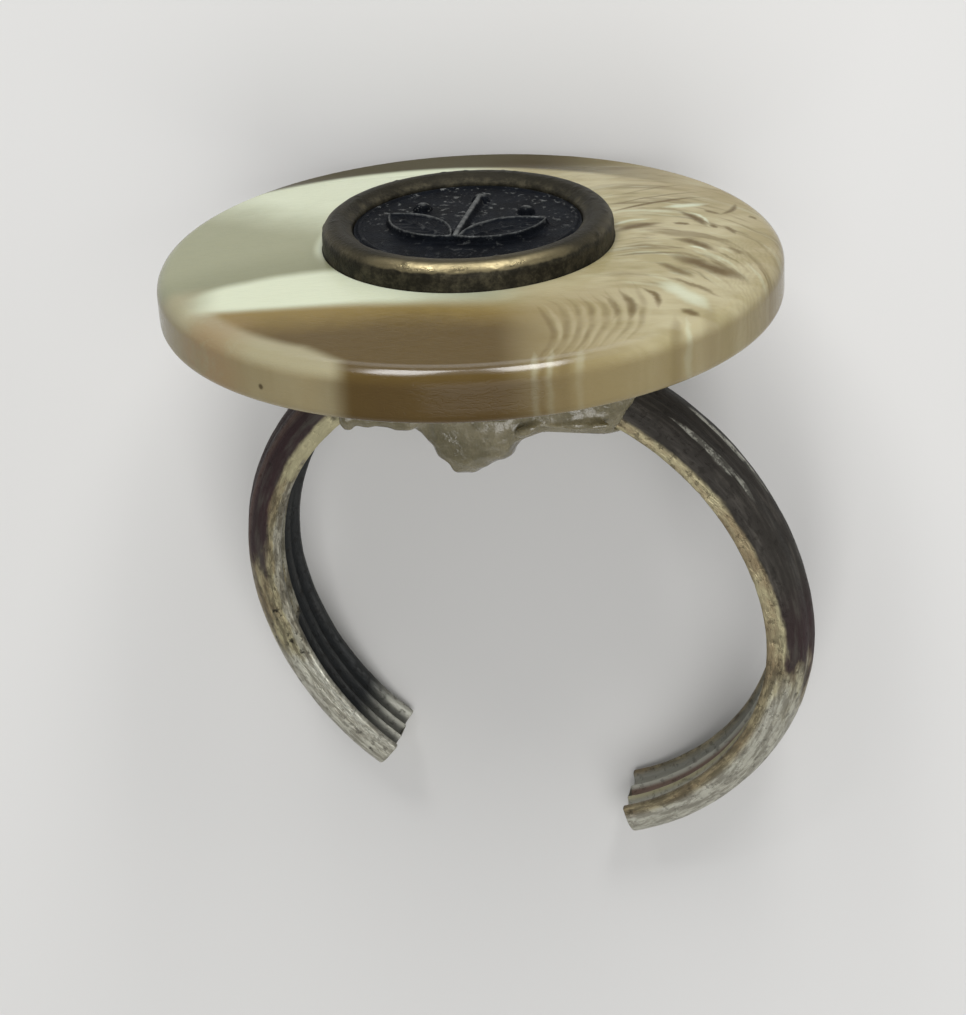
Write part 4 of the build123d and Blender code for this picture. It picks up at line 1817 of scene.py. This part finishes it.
@dataclass(frozen=True)
class Plate:
    """The pressed plate: a plain raised border round a generic sprig of two leaves, a stem and buds."""

    rim: Rim
    stem_length: float = 5.0
    stem_width: float = 0.5
    leaf_length: float = 4.3
    leaf_width: float = 2.1
    leaf_spread: float = 52.0
    leaf_bevel: float = 0.16
    blade: Span = (0.2, 0.55)
    cup_depth: float = 0.06
    midrib_width: float = 0.09
    midrib_height: float = 0.05
    relief_height: float = 0.2
    edge_height: float = 0.1
    edge_width: float = 0.16
    vein_spacing: float = 0.62
    vein_height: float = 0.03
    vein_slant: float = 0.9
    bud_diameter: float = 0.75
    bud_count: int = 3
    bud_spread: Span = (30.0, 150.0)
    border_width: float = 0.14
    border_inset: float = 0.22
    border_height: float = 0.07
    drawing_turn: float = BUTTON_TURN
    rings: int = 104
    sides: int = 320

    @property
    def radius(self) -> float:
        """Radius of the plate."""
        return self.rim.opening_radius - self.rim.seat_gap

    @property
    def bottom(self) -> float:
        """Height of the plate's underside."""
        return self.rim.bottom + self.rim.ledge_height + self.rim.seat_gap

    @property
    def raised(self) -> float:
        """Height of the stem, the buds and the leaves' edges."""
        return self.relief_height + self.edge_height

    @staticmethod
    def _ramp(value: np.ndarray, low: float, high: float) -> np.ndarray:
        """A smooth step from 0 at low to 1 at high."""
        share = np.clip((value - low) / (high - low), 0, 1)
        return share * share * (3 - 2 * share)

    def _leaf(self, x: np.ndarray, y: np.ndarray, lean: float) -> np.ndarray:
        """Height of one leaf, with its raised edge, midrib and veins.

        Args:
            x: across the plate.
            y: along the stem.
            lean: degrees that the leaf leans to the left.

        Returns:
            The height at each point.
        """
        turn = math.radians(lean)
        foot = y + self.stem_length / 2
        across = x * math.cos(turn) + foot * math.sin(turn)
        along = foot * math.cos(turn) - x * math.sin(turn)
        half = self.leaf_width / 2
        arc_radius = ((self.leaf_length / 2) ** 2 + half**2) / (2 * half)
        away = np.hypot(np.abs(across) + arc_radius - half, along - self.leaf_length / 2)
        inside = arc_radius - away
        body = self._ramp(inside, 0.0, self.leaf_bevel)
        edge = np.exp(-(((inside - self.edge_width) / (0.5 * self.edge_width)) ** 2)) * self.edge_height
        blade = self._ramp(inside, *self.blade)
        midrib = np.exp(-((across / self.midrib_width) ** 2)) * self.midrib_height * blade
        slant = (along - np.abs(across) * self.vein_slant) * (2 * math.pi / self.vein_spacing)
        veins = (0.5 + 0.5 * np.cos(slant)) ** 3 * self.vein_height * blade
        cupped = self.cup_depth * blade * self._ramp(np.abs(across), half * 0.75, 0.0)
        return body * (self.relief_height + edge + midrib + veins - cupped)

    def relief(self, x: np.ndarray, y: np.ndarray) -> np.ndarray:
        """Height of the design above the plate's shallow dome.

        Args:
            x: across the plate.
            y: along the stem.

        Returns:
            The height at each point.
        """
        height = np.maximum(self._leaf(x, y, self.leaf_spread), self._leaf(x, y, -self.leaf_spread))
        stem_half = (self.stem_length - self.stem_width) / 2
        from_stem = np.hypot(x, y - np.clip(y, -stem_half, stem_half))
        height = np.maximum(height, self.raised * self._ramp(from_stem, self.stem_width / 2, 0.06))
        reach = self.stem_length / 2
        for angle in np.radians(np.linspace(*self.bud_spread, self.bud_count)):
            from_bud = np.hypot(x - reach * math.cos(angle), y - reach * math.sin(angle))
            ball = np.sqrt(np.clip(1 - (2 * from_bud / self.bud_diameter) ** 2, 0, 1))
            height = np.maximum(height, self.raised * ball)
        from_border = np.abs(np.hypot(x, y) - (self.radius - self.border_inset))
        return np.maximum(height, self.border_height * self._ramp(from_border, self.border_width, 0.03))

    def build(self, finish: bpy.types.Material) -> bpy.types.Object:
        """Builds the plate as a closed disc whose top carries the relief.

        Args:
            finish: the plate's metal.

        Returns:
            The plate.
        """
        radii = self.radius * np.arange(1, self.rings + 1) / self.rings
        angles = 2 * math.pi * np.arange(self.sides) / self.sides
        x = np.outer(radii, np.cos(angles)).ravel()
        y = np.outer(radii, np.sin(angles)).ravel()
        turn = math.radians(self.drawing_turn)
        cosine, sine = math.cos(turn), math.sin(turn)
        design = self.relief(x * cosine - y * sine, x * sine + y * cosine)
        dome = self.rim.plate_edge + rise(self.radius, self.rim.plate_crown_height, np.hypot(x, y))
        top = np.column_stack((x, y, dome + design))
        foot = np.column_stack((x[-self.sides:], y[-self.sides:], np.full(self.sides, self.bottom)))
        middle_height = self.rim.plate_edge + self.rim.plate_crown_height + self.raised
        poles = np.array([[0, 0, middle_height], [0, 0, self.bottom]])
        vertices = np.vstack((top, foot, poles))
        faces: List[Tuple[int, ...]] = []
        for ring in range(self.rings):
            for side in range(self.sides):
                after = (side + 1) % self.sides
                row, below = ring * self.sides, (ring + 1) * self.sides
                faces.append((row + side, below + side, below + after, row + after))
        top_pole, bottom_pole = len(vertices) - 2, len(vertices) - 1
        for side in range(self.sides):
            after = (side + 1) % self.sides
            faces.append((top_pole, side, after))
            row = self.rings * self.sides
            faces.append((bottom_pole, row + after, row + side))
        mesh = bpy.data.meshes.new("sprig_plate")
        mesh.from_pydata(vertices.tolist(), [], faces)
        heights = np.concatenate((design, np.zeros(self.sides), [self.raised, 0.0])) / self.raised
        mesh.attributes.new(Trait.RELIEF.value, "FLOAT", "POINT").data.foreach_set("value", heights)
        mesh.materials.append(finish)
        return solid_object("sprig_plate", mesh, self.rim.button.frame)


@dataclass(frozen=True)
class Hoop:
    """The open reeded hoop, swept along the edge of the finger hole.

    Attributes:
        frame: the worn frame.
    """

    frame: Placement
    short_radius: float = 9.6
    stretch: float = 1.44
    end_offset: float = 0.78
    lean: float = -39.1
    right_end: float = -34.7
    left_end: float = 270.8
    width: float = 3.25
    edge_height: float = 0.76
    crown_height: float = 1.12
    valley_offset: float = 0.56
    valley_depth: float = 0.1
    bulge: float = 0.05
    lip_width: float = 0.3
    groove_depth: float = 0.36
    ridge_offset: float = 0.45
    ridge_depth: float = 0.08
    wear_reach: float = 0.055
    fine_line: float = 0.01
    fine_section: float = 0.02
    step_along: float = 0.1
    step_round: float = 0.09
    end_step: float = 0.03
    end_rounding: float = 0.07

    def line(self) -> np.ndarray:
        """The edge of the finger hole from the right end over the top to the left end.

        Returns:
            Points in the front view, closer together near both ends.
        """
        tight = self.short_radius - self.end_offset
        tight_offset = self.short_radius + self.stretch - tight
        wide_offset = (tight_offset**2 - self.end_offset**2) / (2 * self.end_offset)
        wide = self.short_radius + wide_offset
        junction = math.degrees(math.atan2(wide_offset, tight_offset))
        arcs = (
            (0, tight_offset, tight, self.right_end, junction),
            (270, wide_offset, wide, junction, 180 - junction),
            (180, tight_offset, tight, 180 - junction, 180 + junction),
            (90, wide_offset, wide, 180 + junction, self.left_end),
        )
        runs = []
        for direction, offset, radius, first, last in arcs:
            turned = math.radians(direction + self.lean)
            centre = (offset * math.cos(turned), offset * math.sin(turned))
            runs.append(arc(centre, radius, first + self.lean, last + self.lean, self.fine_line))
        points = np.vstack(runs)
        lengths = np.concatenate(([0.0], np.cumsum(np.linalg.norm(np.diff(points, axis=0), axis=1))))
        total = lengths[-1]
        ends = np.arange(0, 2 * self.end_rounding, self.end_step)
        middle = np.linspace(ends[-1], total - ends[-1], round(total / self.step_along))
        places = np.concatenate((ends[:-1], middle, total - ends[:-1][::-1]))
        return np.column_stack([np.interp(places, lengths, points[:, axis]) for axis in (0, 1)])

    def _arch(self, offset: float) -> float:
        """Height of the hoop's outside without its reeds."""
        return self.edge_height + float(rise(self.width / 2, self.crown_height, offset))

    @staticmethod
    def _mirrored(point: Point2) -> Point2:
        """The same point of the section on its other side."""
        return point[0], -point[1]

    def section(self) -> np.ndarray:
        """The hoop's section: x away from the finger, y towards the back.

        Returns:
            The closed outline, its corners worn round.
        """
        half = self.width / 2
        side_reed = (half + self.valley_offset) / 2
        side_groove = (half - self.lip_width + self.ridge_offset) / 2
        foot = (0, half)
        edge = (self.edge_height, half)
        reed = (self._arch(side_reed) + self.bulge, side_reed)
        valley = (self._arch(self.valley_offset) - self.valley_depth, self.valley_offset)
        crown = (self.edge_height + self.crown_height, 0)
        lip = (0, half - self.lip_width)
        groove = (self.groove_depth, side_groove)
        ridge = (self.ridge_depth, self.ridge_offset)
        front_foot, front_edge, front_reed, front_valley, front_lip, front_groove, front_ridge = (
            self._mirrored(point) for point in (foot, edge, reed, valley, lip, groove, ridge)
        )
        fine = self.fine_section
        corners = np.vstack((
            straight(front_foot, front_edge, fine),
            bow(front_edge, front_reed, front_valley, fine),
            bow(front_valley, crown, valley, fine),
            bow(valley, reed, edge, fine),
            straight(edge, foot, fine),
            straight(foot, lip, fine),
            bow(lip, groove, ridge, fine),
            bow(ridge, (self.groove_depth, 0), front_ridge, fine),
            bow(front_ridge, front_groove, front_lip, fine),
            straight(front_lip, front_foot, fine),
        ))
        rounded = softened(corners, self.wear_reach, fine)
        return rounded[::round(self.step_round / fine)]

    def build(self, sweeps: SweepTree, finish: bpy.types.Material) -> bpy.types.Object:
        """Sweeps the section along the finger hole.

        Args:
            sweeps: the sweep tree.
            finish: the hoop's metal.

        Returns:
            The hoop.
        """
        path = outline_object("hoop_line", self.line(), False)
        outline = outline_object("hoop_section", self.section(), True)
        sizes = {
            "Unevenness": 0.03,
            "Unevenness scale": 0.8,
            "Pit depth": 0.035,
            "Pit spacing": 0.45,
            "Pit share": 0.22,
            "End rounding": self.end_rounding,
            "Seed": 2.0,
        }
        return sweeps.sweep("reeded_hoop", path, outline, finish, self.frame.standing(), sizes)


@dataclass(frozen=True)
class Lump:
    """A rounded lump of glue, in the worn frame.

    Attributes:
        middle: its middle.
        reach: its half sizes.
        turn: degrees that it is turned in the front view.
    """

    middle: Point3
    reach: Point3
    turn: float = 0.0


@dataclass(frozen=True)
class Glue:
    """The hardened glue: its solid with a hanging drip and lumps, all run together.

    Attributes:
        frame: the worn frame.
    """

    frame: Placement
    drip_line: Tuple[Point2, ...] = (
        (-4.1, 8.15), (-3.66, 7.69), (-3.34, 7.28), (-3.11, 6.88), (-2.7, 6.52),
        (-2.45, 6.12), (-1.92, 5.98), (-1.48, 6.13), (-0.93, 6.53), (-0.4, 6.8),
        (-0.04, 7.02), (0.19, 7.45), (0.51, 7.79), (1.4, 8.15),
    )
    drip_top: float = 9.0
    drip_depth: float = -1.2
    drip_reach: float = 1.15
    drip_thin_share: float = 0.45
    drip_growth: float = 0.25
    drip_roundness: float = 0.7
    drip_step: float = 0.08
    drip_sides: int = 17
    lumps: Tuple[Lump, ...] = (
        Lump((-6.85, -2.05, 8.7), (0.42, 0.38, 0.65)),
        Lump((-5.9, -2.05, 8.85), (1.3, 0.38, 0.52)),
        Lump((-4.7, -2.05, 8.8), (1.3, 0.38, 0.5)),
        Lump((2.2, -2.15, 9.4), (1.8, 0.3, 0.5), 4.0),
        Lump((0.95, -2.35, 8.75), (0.75, 0.3, 0.2), 28.0),
        Lump((2.9, -2.4, 9.0), (1.5, 0.26, 0.24), 4.0),
        Lump((-2.6, -2.3, 9.2), (1.2, 0.24, 0.5), -10.0),
    )
    weld_reach: float = 0.001
    voxel: float = 0.1
    smoothing: int = 5
    smoothing_share: float = 0.5
    ripple_height: float = 0.14
    ripple_scale: float = 0.75
    ripple_finer: float = 3.1
    ripple_fine_share: float = 0.4
    ripple_sink: float = 0.3
    free_height: float = 8.3
    front: float = -1.8
    front_fade: float = 0.3

    def _drip(self, shell: bmesh.types.BMesh) -> None:
        """Adds the drip, a row of half ovals under the line that it hangs to.

        Args:
            shell: the shell.
        """
        line = np.array(self.drip_line)
        around = np.linspace(0, math.pi, self.drip_sides)
        rows = []
        for x in np.arange(line[0, 0], line[-1, 0], self.drip_step):
            drop = self.drip_top - float(np.interp(x, line[:, 0], line[:, 1]))
            reach = self.drip_reach * min(1.0, self.drip_thin_share + self.drip_growth * drop)
            y = self.drip_depth + reach * np.cos(around)
            z = self.drip_top - drop * np.sin(around) ** self.drip_roundness
            rows.append([shell.verts.new((x, float(b), float(c))) for b, c in zip(y, z)])
        for first, second in zip(rows, rows[1:]):
            for place in range(self.drip_sides):
                after = (place + 1) % self.drip_sides
                shell.faces.new((first[place], second[place], second[after], first[after]))
        shell.faces.new(rows[0])
        shell.faces.new(rows[-1][::-1])

    def _ripple(self, mesh: bpy.types.Mesh) -> None:
        """Gives the free front and the drip an uneven skin.

        Args:
            mesh: the glue's mesh.
        """
        normals = [vertex.normal.copy() for vertex in mesh.vertices]
        for vertex, normal in zip(mesh.vertices, normals):
            place = vertex.co
            free = min(1.0, max(0.0, (self.front - place.y) / self.front_fade))
            if place.z < self.free_height:
                free = 1.0
            coarse = place * self.ripple_scale
            cloud = noise.noise(coarse) + self.ripple_fine_share * noise.noise(coarse * self.ripple_finer)
            vertex.co = place + normal * (self.ripple_height * free * (cloud - self.ripple_sink))

    def build(self, finish: bpy.types.Material) -> bpy.types.Object:
        """Runs the solid, the drip and the lumps together and gives them an uneven skin.

        Args:
            finish: the glue's finish.

        Returns:
            The glue.
        """
        shell = bmesh.new()
        shell.from_mesh(frame["nodes"]["glue_pad"].data)
        bmesh.ops.transform(shell, matrix=self.frame.matrix.inverted(), verts=shell.verts)
        bmesh.ops.remove_doubles(shell, verts=shell.verts, dist=self.weld_reach)
        self._drip(shell)
        for lump in self.lumps:
            turn = Matrix.Rotation(math.radians(-lump.turn), 3, "Y")
            pose = Matrix.LocRotScale(Vector(lump.middle), turn, Vector(lump.reach))
            bmesh.ops.create_icosphere(shell, subdivisions=3, radius=1.0, matrix=pose)
        bmesh.ops.recalc_face_normals(shell, faces=shell.faces)
        mesh = bpy.data.meshes.new("glue_form")
        shell.to_mesh(mesh)
        shell.free()
        form = bpy.data.objects.new("glue_form", mesh)
        bpy.context.scene.collection.objects.link(form)
        remesh = form.modifiers.new("remesh", "REMESH")
        remesh.mode = "VOXEL"
        remesh.voxel_size = self.voxel
        soften = form.modifiers.new("soften", "SMOOTH")
        soften.factor = self.smoothing_share
        soften.iterations = self.smoothing
        depsgraph = bpy.context.evaluated_depsgraph_get()
        made = bpy.data.meshes.new_from_object(form.evaluated_get(depsgraph), depsgraph=depsgraph)
        bpy.data.objects.remove(form)
        self._ripple(made)
        made.materials.clear()
        made.materials.append(finish)
        return solid_object("hard_glue", made, self.frame)


@dataclass(frozen=True)
class SoftLight:
    """A soft rectangular light that looks at the ring.

    Attributes:
        name: the light's name.
        place: its place in the worn frame's millimetres.
        size: its width and height in millimetres.
        roll: degrees that its width is turned from level.
        power: its power in watts.
    """

    name: str
    place: Point3
    size: Point2
    roll: float
    power: float


@dataclass(frozen=True)
class Studio:
    """Floor, light and camera.

    Attributes:
        frame: the worn frame, in which the camera and the lights are placed.
    """

    frame: Placement
    eye: Point3 = (20.572, -92.028, 50.448)
    aim: Point3 = (-0.588, -4.838, 6.298)
    roll: float = -3.2
    focal_pixels: float = 2466.2
    image_height: float = 1015.0
    sensor: float = 36.0
    nearest: float = 0.005
    floor_size: float = 3.0
    sky: Tint = (236, 238, 242)
    sky_strength: float = 0.32
    lights: Tuple[SoftLight, ...] = (
        SoftLight("left strip", (-43.4, -42.3, 177.0), (40.0, 130.0), 38.0, 0.14),
        SoftLight("right strip", (42.4, -27.2, 179.7), (40.0, 130.0), -36.0, 0.14),
        SoftLight("fill", (45.0, -165.0, 5.0), (130.0, 130.0), 0.0, 0.23),
    )

    def build(self, finish: bpy.types.Material) -> None:
        """Sets up the floor, the lights, the world and the camera.

        Args:
            finish: the floor's finish.
        """
        self._floor(finish)
        for light in self.lights:
            self._hang(light)
        self._world()
        self._camera()

    def _floor(self, finish: bpy.types.Material) -> None:
        """Adds the floor at the height that the ring rests on.

        Args:
            finish: the floor's finish.
        """
        half = self.floor_size / 2
        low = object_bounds()[0].z
        mesh = bpy.data.meshes.new("floor")
        corners = [(-half, -half, low), (half, -half, low), (half, half, low), (-half, half, low)]
        mesh.from_pydata(corners, [], [(0, 1, 2, 3)])
        mesh.materials.append(finish)
        floor = bpy.data.objects.new("floor", mesh)
        bpy.context.scene.collection.objects.link(floor)
        floor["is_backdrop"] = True

    def _hang(self, light: SoftLight) -> None:
        """Adds one light to the scene.

        Args:
            light: the light.
        """
        data = bpy.data.lights.new(light.name, "AREA")
        data.shape = "RECTANGLE"
        data.size, data.size_y = (side * MILLIMETRE for side in light.size)
        data.energy = light.power
        made = bpy.data.objects.new(light.name, data)
        made.matrix_world = self._looking(light.place, light.roll)
        bpy.context.scene.collection.objects.link(made)

    def _looking(self, place: Sequence[float], roll: float) -> Matrix:
        """The pose of a camera or light that looks at the ring.

        Args:
            place: where it is, in the worn frame's millimetres.
            roll: degrees that it is turned about its line of sight.

        Returns:
            Its matrix in the scene.
        """
        eye, aim = self.frame.point(place), self.frame.point(self.aim)
        back = (eye - aim).normalized()
        level = self.frame.direction((0, 0, 1)).cross(back).normalized()
        right = Matrix.Rotation(math.radians(roll), 3, back) @ level
        turn = Matrix((right, back.cross(right), back)).transposed().to_4x4()
        return Matrix.Translation(eye) @ turn

    def _world(self) -> None:
        """Lights everything softly from all round."""
        world = bpy.data.worlds.new("studio")
        world.use_nodes = True
        background = world.node_tree.nodes["Background"]
        background.inputs["Color"].default_value = display(self.sky)
        background.inputs["Strength"].default_value = self.sky_strength
        bpy.context.scene.world = world
        bpy.context.scene.view_settings.view_transform = "Standard"

    def _camera(self) -> None:
        """Adds the camera at the photograph's view of the ring."""
        data = bpy.data.cameras.new("camera")
        data.sensor_width = self.sensor
        data.lens = self.focal_pixels / self.image_height * self.sensor
        data.clip_start = self.nearest
        camera = bpy.data.objects.new("camera", data)
        camera.matrix_world = self._looking(self.eye, self.roll)
        bpy.context.scene.collection.objects.link(camera)
        bpy.context.scene.camera = camera


def main() -> None:
    """Builds the ring piece by piece, then the studio round it."""
    logging.basicConfig(level=logging.INFO, format="%(message)s")
    worn = Placement.worn(frame["record"])
    on_button = worn.moved(BUTTON_MIDDLE, BUTTON_TURN)
    effects = Effects()
    sweeps = SweepTree()

    plastic = SwirledPlastic("swirled plastic", on_button, effects).make()
    bronze = DarkBronze("dark bronze", on_button, effects).make()
    blackened = BlackenedPlate("blackened plate", on_button, effects).make()
    silver = TarnishedSilver("tarnished silver", worn, effects).make()
    dried = HardenedGlue("hardened glue", worn, effects).make()

    button = Button(on_button)
    rim = Rim(button)
    join_frame(button.build(sweeps, plastic), "button_disc")
    join_frame(rim.build(sweeps, bronze), "inset_rim")
    join_frame(Plate(rim).build(blackened), "inset_plate")
    join_frame(Hoop(worn).build(sweeps, silver), "ring_band")
    join_frame(Glue(worn).build(dried), "glue_pad")
    Studio(worn).build(PaleFloor("pale floor", worn, effects).make())


if __name__ == "__main__":
    main()
